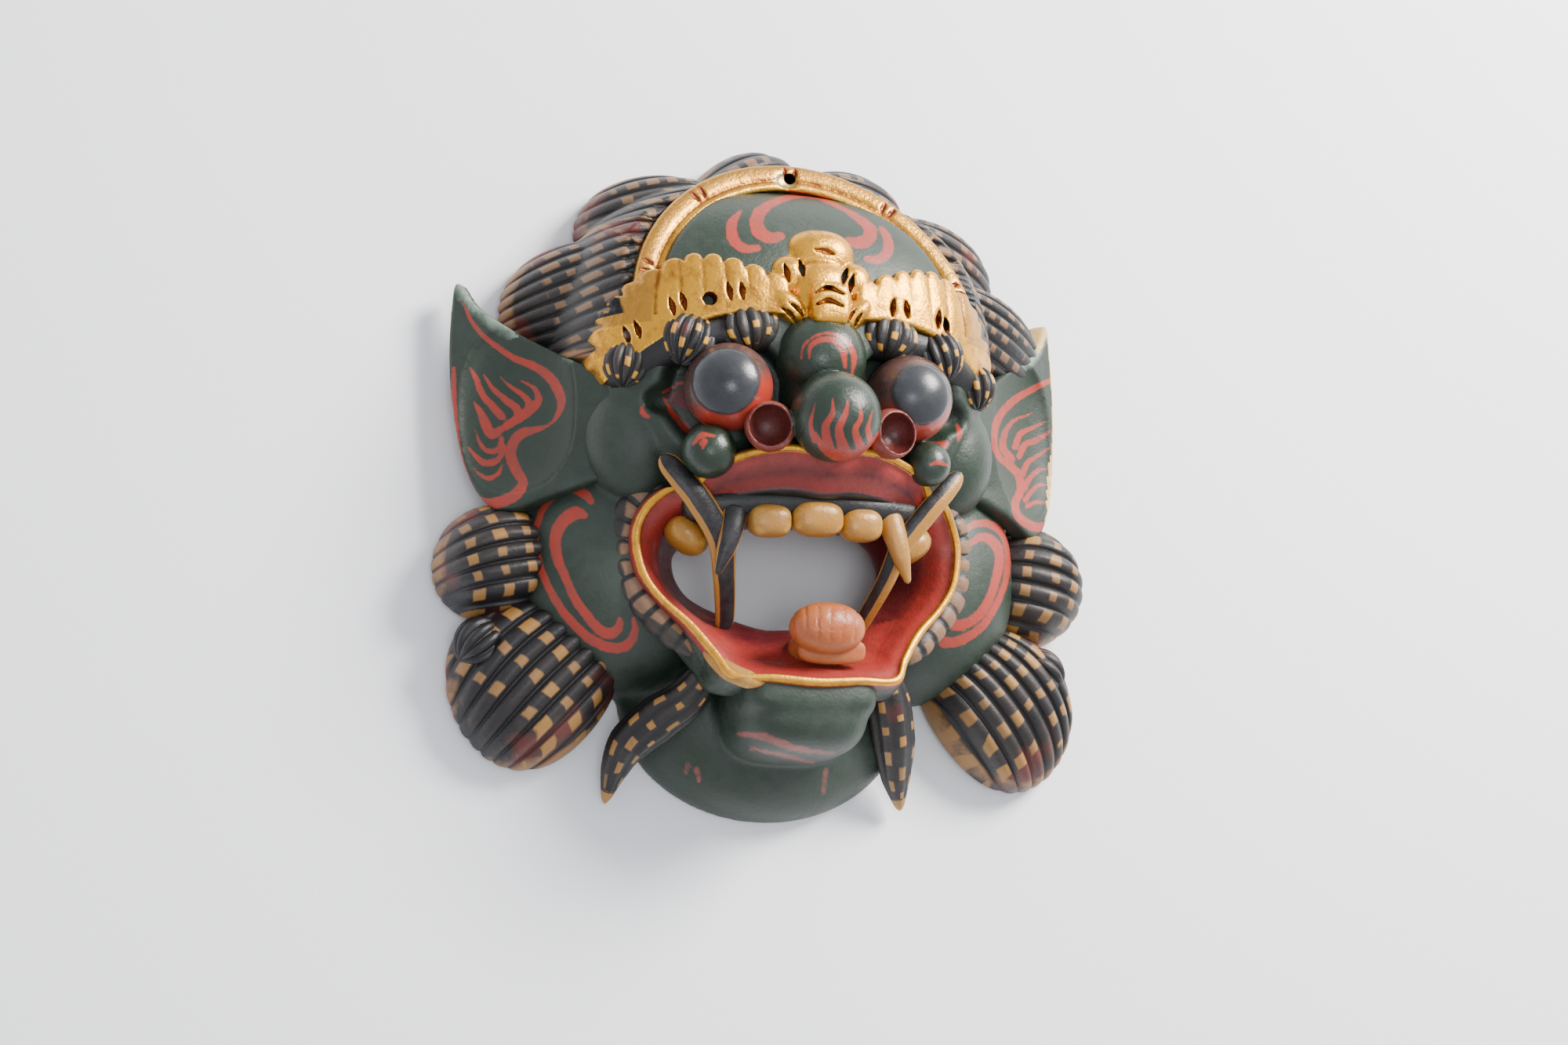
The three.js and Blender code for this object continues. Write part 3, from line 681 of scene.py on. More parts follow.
headStrokes = [  # path and half widths of each brush stroke, in steps of the picture
    ([(754, 640), (746, 630), (730, 623), (709, 630), (693, 648), (684, 672), (683, 695), (688, 721),
      (699, 748), (715, 776), (736, 801), (758, 819), (783, 827), (801, 823), (810, 807), (808, 789)],
     [4, 6, 5.5, 4, 3.7, 4, 4.6, 4.6, 4.8, 5.2, 5.7, 6.3, 6.5, 6.3, 5, 2]),
    ([(746, 658), (736, 654), (722, 661), (711, 676), (708, 695), (712, 715), (722, 738), (732, 762),
      (746, 782), (762, 801), (777, 809), (789, 801), (791, 789)],
     [4, 8.6, 8.6, 7.8, 7.2, 6.2, 5, 5.4, 6, 6.4, 7, 6, 3]),
    ([(1226, 680), (1244, 668), (1267, 670), (1282, 687), (1286, 713), (1282, 744), (1270, 774), (1252, 800),
      (1226, 817), (1203, 819), (1191, 804), (1195, 785)],
     [3, 4.5, 5, 4.5, 3.7, 3.7, 4, 5, 6.3, 7, 6, 2.5]),
    ([(1233, 698), (1250, 685), (1267, 691), (1275, 710), (1270, 740), (1259, 770), (1244, 789), (1222, 798),
      (1207, 790), (1210, 770)], [3, 5.5, 6.5, 6, 5.5, 5.5, 6, 7, 6, 2.5]),
    ([(945, 269), (934, 285), (935, 304), (949, 317), (967, 316)], [2, 6.5, 7.2, 5.6, 4]),
    ([(996, 301), (981, 304), (966, 292), (967, 273), (987, 258), (1014, 250), (1039, 250), (1063, 260),
      (1085, 272), (1101, 283), (1111, 295), (1106, 307), (1091, 310), (1080, 306)],
     [5.5, 7, 9.4, 8, 4.5, 3, 2.8, 2.8, 3.5, 5.5, 8, 8.6, 7, 3.5]),
    ([(1124, 291), (1132, 305), (1132, 322), (1120, 331), (1105, 330)], [3, 6, 7, 6, 3.5]),
    ([(818, 516), (820, 527), (829, 533)], [1.5, 4, 1.5]),
    ([(1220, 541), (1224, 552), (1222, 562)], [1.5, 4, 1.5]),
    ([(846, 501), (868, 489), (880, 487)], [1.5, 2.5, 2]),
    ([(846, 506), (860, 530), (884, 552), (905, 556)], [1.5, 3.5, 5, 2]),
    ([(1175, 572), (1195, 572), (1207, 566)], [8, 9, 4]),
]
faintStrokes = [
    ([(943, 936), (977, 941), (1015, 955), (1063, 961)], [2.5, 4.5, 4.2, 1.5]),
    ([(958, 955), (996, 963), (1037, 973)], [1.5, 2.6, 1.5]),
    ([(878, 974), (875, 987)], [2.6, 1.8]), ([(889, 981), (892, 996)], [3, 1.8]),
    ([(1053, 984), (1050, 1012)], [3, 2]),
]
eyeCorner = [([(849, 505), (864, 509), (878, 508)], [2, 9, 16])]


crown = {
    "centre": (0, 43), "inside": 54.0, "outside": 63.0, "low": 62.0, "lowAt": 46.0, "lean": 0.28,
    "notches": 5, "notchFrom": 18.0, "notchTo": 162.0, "notchApart": 0.030, "hole": 1.8, "bandEnd": 52.0,
}


def crownHeight(y):
    return crown["low"] - (y - crown["lowAt"]) * crown["lean"]


def crownTrim(x, y, z):
    # what stands above the crown band and outside it
    rho = np.sqrt(x ** 2 + (y - crown["centre"][1]) ** 2)
    return np.maximum(np.maximum(crown["inside"] + 1 - rho, crownHeight(y) - 3 - z), 44 - y)


def makeHead():
    shape = headShape
    clay = Clay(*shape["box"], shape["grain"])
    clay.add(ovoid(brow["at"], brow["radii"], brow["square"]))
    clay.add(ovoid(*shape["throat"]), 5)
    clay.add(ovoid(*shape["chin"], 3.2), 2)
    clay.add(ovoid(*shape["chinTop"], 6.0), 2.5)
    for side in sides:
        for key, blend, square in (("cheek", 4, 2.2), ("cheekbone", 0.7, 2.0)):
            at, radii = shape[key]
            clay.add(ovoid(mirror(at, side), radii, square), blend)
        at, radii = shape["socket"]
        clay.cut(ovoid(mirror(at, side), radii), 5)
        at, radii = shape["corner"]
        clay.cut(ovoid(mirror(at, side), radii), 2)
    for hole in hollowShapes():
        clay.cut(hole, 2)
    clay.add((socketFloor, *shape["socketBox"]))
    clay.cut((mouthFunnel, (-60, -84, -2), (60, -2, 84)), 0.5)
    clay.cut((crownTrim, (-110, 40, 10), (110, 120, 90)), 0.5)
    height = clay.low[2] + np.arange(clay.size[2]) * clay.grain
    clay.field = np.maximum(clay.field, (shape["floor"] - height).astype(np.float32))
    points, quads = clay.surface()
    x, y, z = points.T
    points[:, 2] = np.maximum(z, shape["floor"])
    back = z < 8  # the picture's strokes would show through here
    values = {
        "red": np.where(back, farAway, painted(points, headStrokes)),
        "faint": np.where(back, farAway, painted(points, faintStrokes)),
        # the dark red in the left eye's outer corner notch is red paint darkened as painted shade
        "corner": painted(points, eyeCorner),
        "inside": np.minimum(hollowDistance(x, y, z) - 0.9, z - 0.8),
    }
    layers = [
        ("red", "red", "redDusty", 0.25, 0.4), ("faint", "faintRed", "greenDusty", 0.5, 0.9),
        ("corner", "redDark", "redBrown", 0.4, 0.3), ("inside", "woodDark", "wood", 0.3, 0.3),
    ]
    paint = agedPaint("greenFacePaint", "green", "greenDusty", layers, rough=0.5, hollowGrimeAndShade="greenDark")
    makePiece("head", points, quads, paint, values)


makeHead()
print("head made")


# Ears: thin scooped boards; their rolled upper edge is not built but painted, as a pale green highlight
earShape = {
    "root": (73, 0, 47), "lean": 40.0, "thick": 7.0, "grain": 0.9, "box": ((62, -24, 0), (124, 68, 56)),
    "roll": [(2, 30), (19, 38), (33, 46.5), (46, 56.5), (53, 65)], "rollWidths": [0.6, 2.6, 3.4, 2.8, 1.4],
    "outline": [(-8, 24), (4, 29), (19, 37.5), (33, 46), (46, 56), (53, 65), (55.5, 50), (56, 33), (54, 14),
                (50, -3), (43, -15), (34, -19.5), (20, -16), (6, -12), (-8, -4)],
    "scoop": ((30, 17), (22, 30, 6.5)),
    "strokes": [
        ([(590, 383), (601, 409), (617, 429), (636, 444), (656, 457), (679, 466), (698, 478), (710, 494),
          (716, 512), (711, 530), (700, 542), (684, 548), (670, 551), (659, 558), (652, 572), (653, 588),
          (661, 604), (667, 615), (661, 628), (645, 638), (624, 643), (606, 636), (596, 615), (588, 590),
          (582, 558), (579, 512), (579, 470)],
         [1, 2.6, 3, 3.3, 4, 5, 6, 6.5, 5.5, 3, 1.4, 4, 6, 6.5, 6.5, 7, 6.5, 6, 7, 7.5, 7, 6, 5, 4.4, 4, 3.6,
          2.4]),
        ([(598, 467), (607, 482), (614, 501), (627, 517), (640, 531)], [0.6, 3.5, 4, 4.5, 5]),
        ([(617, 478), (629, 496), (645, 510), (659, 521), (661, 531)], [0.6, 2.8, 4, 5, 5]),
        ([(637, 480), (652, 494), (666, 503), (675, 515), (672, 524)], [0.6, 2.2, 3.2, 4.4, 4.6]),
        ([(663, 485), (677, 492), (685, 501), (686, 512), (675, 524), (659, 535), (645, 544)],
         [0.6, 2, 3.4, 5, 6, 6, 5]),
        ([(604, 512), (613, 526), (620, 542), (627, 554), (640, 547)], [0.8, 4.5, 6.4, 6, 4.5]),
        ([(606, 547), (612, 565), (622, 575), (636, 573), (640, 560)], [0.6, 2.3, 3.2, 3.6, 3.4]),
        ([(597, 570), (606, 581), (617, 590), (631, 589), (639, 581), (643, 570)],
         [0.8, 2.8, 4, 4, 3.6, 2.6]), ([(604, 597), (613, 606), (624, 610), (636, 604), (640, 593)],
                                       [0.6, 2, 2.8, 2.5, 1.6]),
        ([(1342, 484), (1316, 497), (1289, 514), (1272, 537), (1268, 563), (1274, 582), (1289, 595),
          (1300, 608), (1301, 627), (1295, 642), (1300, 660), (1319, 672), (1336, 671)],
          [3, 4, 5, 5, 4, 4, 5, 5, 5, 5, 5.5, 6, 5]),
        ([(1316, 527), (1293, 537), (1282, 552), (1279, 570), (1290, 586)], [0.8, 2.4, 3.8, 4.5, 5]),
        ([(1336, 537), (1316, 546), (1301, 554), (1295, 570)], [0.8, 2.8, 3.8, 4]),
        ([(1342, 548), (1323, 561), (1308, 567), (1300, 582)], [1.4, 3.6, 4, 4]),
        ([(1340, 570), (1323, 582), (1312, 589), (1304, 604)], [1, 2.8, 3.4, 4]),
        ([(1338, 597), (1323, 601), (1312, 612), (1306, 623)], [1, 2.8, 3.4, 4]),
        ([(1338, 619), (1325, 619), (1314, 629), (1308, 638)], [1, 2.4, 3, 3]),
        ([(1336, 642), (1323, 640), (1310, 646)], [1, 2.4, 3]),
    ],
}


def earLocal(x, y, z):
    lean = math.radians(earShape["lean"])
    dx, dz = x - earShape["root"][0], z - earShape["root"][2]
    return dx * math.cos(lean) - dz * math.sin(lean), y, dx * math.sin(lean) + dz * math.cos(lean)


def makeEars():
    shape = earShape
    outline = smoothPath(shape["outline"] + shape["outline"][:1], 90)[:-1]
    (su, sv), (ru, rv, depth) = shape["scoop"]
    clay = Clay(*shape["box"], shape["grain"])

    def face(u, v):
        bowl = np.clip(1 - (np.abs((u - su) / ru) ** 2.4 + np.abs((v - sv) / rv) ** 2.4), 0, 1)
        sunk = np.clip((16 - u) / 24, 0, 1) ** 1.5 * np.clip((12 - v) / 18, 0, 1) * 10
        return -depth * bowl ** 0.6 - 0.6 - sunk

    def blade(x, y, z):
        u, v, w = np.broadcast_arrays(*earLocal(x, y, z))
        flat = outlineDistance(u, v, outline)
        top = face(u, v)
        edge = -softMin(-flat, top - w, 1.8)
        return np.maximum(edge, top - shape["thick"] - w)

    clay.add((blade, *shape["box"]))
    oneEar, quads = clay.surface()
    parts = []
    u, v, w = earLocal(*oneEar.T)
    edge = outlineDistance(u, v, outline)
    # painted highlight: a pale green band along the upper edge, where the rolled edge would catch the light
    roll = np.where(w > -4, strokeDistance(u, v, shape["roll"], shape["rollWidths"], 20), farAway)
    front = w > face(u, v) - shape["thick"] * 0.6
    for side in sides:
        points = oneEar * (side, 1, 1)
        tip = 64.0 - (v - 0.15 * (u - 50))
        # the cream at the left ear's tip is its paint; the cream strip along the right ear's outer edge is
        # edge paint and a painted highlight where the light grazes it
        bare = tip if side < 0 else np.where((u > 44) & (edge > -2.4), -1.0, farAway)
        red = np.where(front, painted(points, shape["strokes"], 60), farAway)
        values = {"red": red, "roll": roll, "bare": bare}
        parts.append((points, quads if side > 0 else quads[:, ::-1], values))
    points, quads, values = joinParts(parts)
    layers = [
        ("roll", "greenPale", "greenDusty", 1.3, 1.2), ("red", "red", "redDusty", 0.22, 0.4),
        ("bare", "cream", "goldPale", 0.3, 0.6),
    ]
    paint = agedPaint("greenEarPaint", "green", "greenDusty", layers, dustAmount=0.35, hollowGrimeAndShade="greenDark")
    makePiece("ears", points, quads, paint, values)


makeEars()
print("ears made")


# Nose, third eye, nostrils and warts
knobs = {
    "grain": 0.65, "box": ((-54, -20, 50), (54, 48, 104)),
    "nose": ((0, 5, 86), 15.5), "bridge": ((0, 16, 66), (13, 22, 16)),
    "thirdEye": ((0, 29, 73), (16, 15.6, 15)),
    "nostril": ((22, 1.5, 81), (8.8, 8.8, 8)), "cup": ((23.2, 1.0, 85), (6.9, 6.9, 8.5)),
    "nostrilRoot": ((30, 2, 60), (14, 7, 10)), "wart": ((40, -5.5, 69.5), 9.3), "rightWartLess": 1.5,
    "strokes": [
        ([(1040, 553), (1050, 571), (1066, 580), (1084, 582), (1102, 578), (1115, 566), (1120, 552)],
         [2, 5, 7.5, 8, 7.5, 5, 2]), ([(1039, 562), (1034, 541), (1040, 514)], [4, 2.6, 0.5]),
        ([(1057, 572), (1053, 546), (1062, 527), (1062, 508)], [7, 5, 3.4, 0.5]),
        ([(1077, 575), (1070, 549), (1078, 529), (1082, 508)], [8, 5, 3.8, 0.5]),
        ([(1098, 572), (1091, 549), (1098, 533), (1096, 512)], [6, 4, 3, 0.5]),
        ([(1112, 564), (1107, 548), (1113, 524)], [5, 3.2, 0.5]),
        ([(1022, 458), (1025, 441), (1041, 428), (1060, 425), (1079, 435), (1089, 453), (1087, 477)],
         [0.8, 1.4, 1.4, 1.6, 3, 4, 1.6]),
        ([(1032, 458), (1034, 442), (1046, 434), (1063, 434), (1075, 447), (1078, 468)],
         [1, 3, 3.4, 3.8, 4.4, 2.4]),
        ([(884, 567), (895, 555), (911, 556)], [1.4, 3.6, 1.6]),
        ([(895, 566), (899, 563), (896, 572)], [3, 3.6, 1]),
        ([(1186, 593), (1197, 590), (1209, 594)], [1.2, 3.4, 1.2]),
    ],
}


def makeKnobs():
    clay = Clay(*knobs["box"], knobs["grain"])
    (noseAt, noseRadius), (wartAt, wartRadius) = knobs["nose"], knobs["wart"]
    (nostrilAt, nostrilRadii), (cupAt, cupRadii) = knobs["nostril"], knobs["cup"]
    (rootAt, rootRadii) = knobs["nostrilRoot"]
    clay.add(ovoid(*knobs["bridge"]))
    clay.add(ovoid(*knobs["thirdEye"]), 1.5)
    for side in sides:
        clay.add(ovoid(mirror(nostrilAt, side), nostrilRadii), 1.0)
        clay.add(ovoid(mirror(rootAt, side), rootRadii), 3.0)
    clay.add(ovoid(noseAt, (noseRadius,) * 3), 0.8)
    for side in sides:
        clay.cut(ovoid(mirror(cupAt, side), cupRadii), 1.0)
        radius = wartRadius - (knobs["rightWartLess"] if side > 0 else 0)
        clay.add(ovoid(mirror(wartAt, side), (radius,) * 3), 0.7)
    clay.cut(hollowShapes(headShape["hiddenDepth"])[0])
    points, quads = clay.surface()
    x, y, z = points.T
    ax = np.abs(x)
    onNose = np.hypot(np.hypot(x, y - noseAt[1]), z - noseAt[2]) < noseRadius + 0.7
    below = np.maximum(0, nostrilAt[2] - 1 - z)
    rim = np.abs(ovoid(nostrilAt, nostrilRadii)[0](ax, y, z)) + below * 0.5 - 0.8
    values = {
        "red": painted(points, knobs["strokes"]),
        # red-brown paint inside the nostril cups, darkened as painted shade
        "cup": ovoid(cupAt, cupRadii)[0](ax, y, z) - 0.3,
        "rim": np.where(onNose | (ax <= nostrilAt[0] - 9), farAway, rim),
    }
    layers = [
        ("rim", "redDusty", "redBrown", 0.5, 0.4), ("cup", "redDark", "redBrown", 0.5, 0.2),
        ("red", "red", "redDusty", 0.22, 0.3),
    ]
    paint = agedPaint("greenKnobPaint", "green", "greenDusty", layers, rough=0.36, dustAmount=0.4,
                      hollowGrimeAndShade="greenDark")
    makePiece("noseAndBrowKnobs", points, quads, paint, values)


makeKnobs()


# Eyes: red balls with dark glossy caps
eyes = {
    "at": (33, 17, 71), "radius": 15.2, "step": 0.5,  # step: how far the dark cap stands off the ball
    "left": {"aim": (-0.40, -0.05, 0.91), "cap": 0.66, "lower": 2.5, "slope": 6},
    "right": {"aim": (0.0, -0.10, 0.99), "cap": 0.72, "lower": 4.5, "slope": 0},
}


def makeEyes():
    parts = []
    for side in sides:
        look, at = eyes["right" if side > 0 else "left"], mirror(eyes["at"], side)
        aim = np.array(look["aim"])
        aim /= np.linalg.norm(aim)
        points, faces = closedGrid(ribbedBall(at, (eyes["radius"],) * 3, around=96, rings=66)[0])
        offset = (points - at) / eyes["radius"]
        cap = (look["cap"] - offset @ aim) * eyes["radius"]
        points = points + offset * (np.clip(-cap * 2, 0, 1) * eyes["step"])[:, None]
        points[:, 2] = np.maximum(points[:, 2], hollowTop(points[:, 0], points[:, 1], 1.7))
        pupil = cap + 3.4 + offset[:, 1] * 2.0
        lower = offset[:, 1] * 12 + look["lower"] - offset[:, 0] * look["slope"]
        parts.append((points, faces, {"cap": cap, "pupil": pupil, "lower": lower}))
    points, faces, values = joinParts(parts)
    layers = [
        ("lower", "red", "redDusty", 2.5, 1.0), ("cap", "eyeDusty", "eye", 0.5, 0.2),
        ("pupil", "eye", "eyeDusty", 2.2, 0.6),
    ]
    paint = agedPaint("eyePaint", "lidBrown", "lidDusty", layers, rough=0.30, grain=0.2)
    makePiece("eyes", points, faces, paint, values)


makeEyes()
print("face knobs and eyes made")


# Mouth: flared lips, a gold rim and the dark red inside, as one closed ring
def makeMouth():
    edge, skins = mouth["edge"], mouth["skins"]
    rim, lip, throat = mouthLoop(rimEdge), mouthLoop(innerLip), mouthLoop(throatEdge)
    keys = [  # ring, and its place from the rim inwards, which the paints go by
        (mouthLoop(rimEdge, edge + 3, -16), -6), (mouthLoop(rimEdge, edge + 1.8, -8), -3.5),
        (mouthLoop(rimEdge, edge + 0.6, -3), -1.5), (mouthLoop(rimEdge, edge * 0.9, 0.2), -0.4),
        (mouthLoop(rimEdge, edge * 0.5, 1.2), 0.3), (mouthLoop(rimEdge, 0, 0.9), 0.9),
        (mouthLoop(rimEdge, -0.4, -0.6), 1.3), (rim * 0.55 + lip * 0.45 + (0, 0, 1.2), 5),
        (rim * 0.2 + lip * 0.8 + (0, 0, 0.6), 8), (lip, 10), (lip * 0.5 + throat * 0.5, 14), (throat, 18),
        (mouthLoop(throatEdge, 1.2, -4), 22), (mouthLoop(throatEdge, 4.5, -5), 26),
        (mouthLoop(innerLip, 5.5, -8), 30),
        ((mouthLoop(rimEdge, 4, -15) + mouthLoop(innerLip, 6, -12)) / 2, 34),
    ]
    rows = smoothPath([key[0].ravel() for key in keys], skins).reshape(skins, -1, 3)
    depth = np.interp(np.linspace(0, len(keys) - 1, skins), np.arange(len(keys)), [key[1] for key in keys])
    points, faces = closedGrid(rows, loop=True)
    depth = np.repeat(depth, rows.shape[1])
    x, y = points.T[:2]
    upper = y > -24
    values = {
        "lip": np.where(upper, depth - 8.0, np.where(y < -55, depth - 13, depth - 9)),
        "dark": np.where(upper & (np.abs(x) < 40), np.abs(depth - 5.2) - 1.2, farAway),
        "gum": np.where((y > -26) & (np.abs(x) < 42), np.abs(depth - 10.2) - 1.5, farAway),
        "outer": depth + 1.4,
        "gold": np.abs(depth - 0.35) * 1.6 - 1.5,
    }
    layers = [
        ("lip", "lipRed", "redBrown", 1.8, 1.0), ("dark", "redDark", "redBrown", 1.2, 0.8),
        ("gum", "black", "greenDark", 0.5, 0.4), ("outer", "green", "greenDusty", 0.3, 0.3),
        ("gold", "gold", "ochre", 0.25, 0.35),
    ]
    paint = agedPaint("redMouthPaint", "redDark", "redBrown", layers, rough=0.42, dustAmount=0.6, grain=0.6,
                      hollowGrimeAndShade="redDark", shine="gold")
    worn = agedPaint("wornLipPaint", "ochre", "patchTan", [], rough=0.45, dustAmount=0.9, edgeWearAndHighlight="goldPale",
                     edgeWearAndHighlightAmount=0.4)
    makePiece("lipCorner", *sweep(mouth["corner"], mouth["cornerWidths"], depth=0.85, steps=50)[:2], worn)
    makePiece("lipsAndMouth", points, faces, paint, values)


makeMouth()


# Teeth, fangs, tusks and tongue
teeth = {
    "front": [((0, -26, 65), (9.2, 6.2, 6)), ((16.6, -27, 63), (7.6, 5.8, 6)),
              ((-16.6, -27, 63), (7.6, 5.8, 6))],
    "molar": ((41, -30, 47), (8, 5.5, 8)),
    "gum": [(-44, -22, 51), (-33, -20.5, 58), (0, -19.5, 63), (33, -20.5, 58), (44, -22, 51)],
    "gumWidths": [5.4, 5.6, 6, 5.6, 5.4],
    "fang": [(28, -22, 61), (31, -34, 62), (35, -46, 60)], "fangWidths": [4.6, 4.2, 3.2, 1.0],
    "tusk": [(24, -60, 34), (26, -54, 42), (29.5, -44, 52), (33, -33, 59), (41, -22, 63), (48, -14, 64),
             (55, -6, 63)],
    "tuskWidths": [3.6, 3.8, 4.2, 4.8, 5.0, 4.7, 3.8], "rightTuskShare": 0.78,
    "leftStripe": (90, 46), "rightStripe": (125, 34), "fangStripe": (90, 60),  # middle, half width in degrees
}


def makeTeeth():
    parts = []
    for at, radii in teeth["front"]:
        rings = ribbedBall(at, radii, (8, 0, 0), square=2.7, around=40, rings=26)[0]
        parts.append((*closedGrid(rings), {}))
    at, radii = teeth["molar"]
    for side in sides:
        rings = ribbedBall(mirror(at, side), radii, (0, 0, 35 * side), square=2.3, around=36, rings=24)[0]
        parts.append((*closedGrid(rings), {}))
    ochre = agedPaint("ochreTeethPaint", "ochre", "tan", [], rough=0.36, metal=0.1, edgeWearAndHighlight="goldPale",
                      edgeWearAndHighlightAmount=0.5, dustAmount=0.5, hollowGrimeAndShade="redBrown")
    makePiece("teeth", *joinParts(parts)[:2], ochre)
    gum = sweep(teeth["gum"], teeth["gumWidths"], around=28, steps=80)
    makePiece("upperGum", *gum[:2],
              agedPaint("blackGumPaint", "black", "green", [], rough=0.45, dustAmount=0.3))


def stripe(across, place):
    # twelve degrees count as a millimetre, so that the painted edge is about as soft as elsewhere
    return (np.abs(across - place[0]) - place[1]) / 12


def makeTusks():
    parts = []
    for side in sides:
        share = teeth["rightTuskShare"] if side > 0 else 1
        path, widths = [mirror(q, side) for q in teeth["tusk"]], [w * share for w in teeth["tuskWidths"]]
        points, faces, values = sweep(path, widths, depth=0.55, around=36, steps=80, endRound=0.09)
        place = teeth["rightStripe" if side > 0 else "leftStripe"]
        parts.append((points, faces, {"stripe": stripe(values["across"], place)}))
        path = [mirror(q, side) for q in teeth["fang"]]
        points, faces, values = sweep(path, teeth["fangWidths"], depth=0.8, around=30, steps=50,
                                      endRound=0.05)
        bare = np.full(len(values["across"]), farAway)
        black = stripe(values["across"], teeth["fangStripe"])
        parts.append((points, faces, {"stripe": bare if side > 0 else black}))
    layers = [("stripe", "black", "blackDusty", 0.25, 0.25)]
    paint = agedPaint("tuskPaint", "ochre", "orangePale", layers, rough=0.42, metal=0.1, dustAmount=0.4)
    points, faces, values = joinParts(parts)
    makePiece("tusksAndFangs", points, faces, paint, values)


tongue = {
    "grain": 0.55, "box": ((-24, -84, 30), (28, -48, 80)), "root": ((6, -68, 48), (11, 8, 12)),
    "foot": ((6, -70.5, 59.5), (12.2, 4.6, 3.4), 3.2, (18, 0, 0)),
    "back": ((3.2, -63.5, 63.5), (13.4, 8.8, 9), 2.1, (10, 0, 0)),
    "grooves": 6, "firstGroove": (1014, 816), "grooveApart": 15, "grooveLong": 40,
}


def makeTongue():
    clay = Clay(*tongue["box"], tongue["grain"])
    clay.add(ovoid(*tongue["root"]))
    clay.add(ovoid(*tongue["foot"]), 1.0)
    clay.add(ovoid(*tongue["back"]), 0.5)
    across, low = tongue["firstGroove"]
    for k in range(tongue["grooves"]):
        start = across + k * tongue["grooveApart"]
        groove = [(start, low), (start + (k - 2) * 1.5, low - tongue["grooveLong"])]
        carve(clay, groove, [1.2, 1.6], 0.35, 0.3)
    paint = agedPaint("orangeTonguePaint", "orange", "orangePale", [], rough=0.4, edgeWearAndHighlight="orangePale",
                      edgeWearAndHighlightAmount=0.5, dustAmount=0.6, hollowGrimeAndShade="redBrown")
    makePiece("tongue", *clay.surface(), paint)


makeTeeth()
makeTusks()
makeTongue()
print("mouth, teeth and tongue made")


# Gold work: crown band, diadem wings and the ornament between them
wings = {
    "foot": [(12, 42), (30, 42), (46, 38), (60, 30), (71, 21)],
    "top": [(75, 26), (72, 44), (63, 55), (46, 63), (30, 61), (12, 54)], "scallops": 12,
    "raise": 3.4, "flute": 7.4, "fluteDepth": 0.6, "inner": 12, "peg": (-40, 47), "pegRadius": 2.3,
}


def crownBand(x, y, z):
    rho = np.sqrt(x ** 2 + (y - crown["centre"][1]) ** 2)
    h = z - crownHeight(y)
    middle, half = (crown["inside"] + crown["outside"]) / 2, (crown["outside"] - crown["inside"]) / 2
    band = np.maximum(np.abs(rho - middle) - half, np.maximum(h - 0.8, -h - 26))
    width, rise = (rho - crown["outside"] + 2.6) / 3.3, (h + 0.2) / 2.3
    outer = ((np.abs(width) ** 3 + np.abs(rise) ** 3) ** (1 / 3) - 1) * 2.3
    inner = np.sqrt((rho - crown["inside"] - 1.2) ** 2 + (h - 0.4) ** 2) - 1.7
    whole = softMin(softMin(band, outer, 0.8), inner, 0.6)
    return np.maximum(whole, crown["bandEnd"] - y + 0 * x)


ornament = [  # place, radii, squareness and tilt of each lobe
    ((1, 62, 66), (16, 11, 9), 2.2, 0), ((2, 66, 67), (13, 10, 10), 2.3, 0),
    ((-10.5, 57.5, 71), (7, 7.5, 7), 2.2, 12), ((12.5, 56.5, 71), (7, 7.5, 7), 2.2, -12),
    ((0.5, 51, 72), (11, 12, 10), 2.6, 0),
    ((-16.5, 53, 71), (7, 6, 6), 2.0, 25), ((18, 52, 70), (7, 6, 6), 2.0, -25),
    ((-12, 45.5, 74), (9.5, 5, 6.5), 2.0, -38), ((12, 44.5, 74), (9, 4.6, 6.5), 2.0, 42),
    ((-20, 46, 71), (7, 5, 6), 2.0, 30), ((21, 46, 70), (7, 5, 6), 2.0, -30),
    ((0.6, 45.8, 80), (7, 7.8, 5.8), 5.0, 0),
]


def wingOutline():
    # the drawn foot, and the upper edge swelling out in scallops
    top = smoothPath(wings["top"], wings["scallops"] * 8 + 1)
    t = np.linspace(0, wings["scallops"], len(top))
    swell = np.abs(np.sin(math.pi * t)) ** 0.5 * 2.6 - 1.4
    normal = np.stack([np.gradient(top[:, 1]), -np.gradient(top[:, 0])], 1)
    normal /= np.linalg.norm(normal, axis=1)[:, None]
    outward = top + normal * swell[:, None] * np.where((normal @ np.array([0.4, 1.0])) > 0, 1, -1)[:, None]
    return np.vstack([smoothPath(wings["foot"], 20), outward])


def browTop(x, y, lift):
    a, b, c = (r + lift for r in brow["radii"])
    rest = 1 - abs((x - brow["at"][0]) / a) ** brow["square"] - abs((y - brow["at"][1]) / b) ** brow["square"]
    return brow["at"][2] + c * max(0.0, rest) ** (1 / brow["square"])


cuts = {  # carved cuts in the gold: their middles in steps of the picture, and how far each leans
    "slits": [(814, 421, 5), (800, 428, 5), (858, 391, 4), (872, 384, 4), (931, 372, 3), (947, 371, 2),
              (1139, 393, -1), (1157, 395, 2), (1197, 408, -1), (1207, 416, 2), (1004, 348, 4),
              (1023, 343, 4), (1077, 353, -4), (1086, 362, -3)],
    "leftWhiskers": [(1008, 402), (1017, 395)], "rightWhiskers": [(1086, 404), (1094, 409)],
    "lids": [370, 386], "lidPath": [(1040, 3), (1057, -3), (1076, 5)],
    "top": [(1038, 318), (1052, 320), (1064, 324)],
}


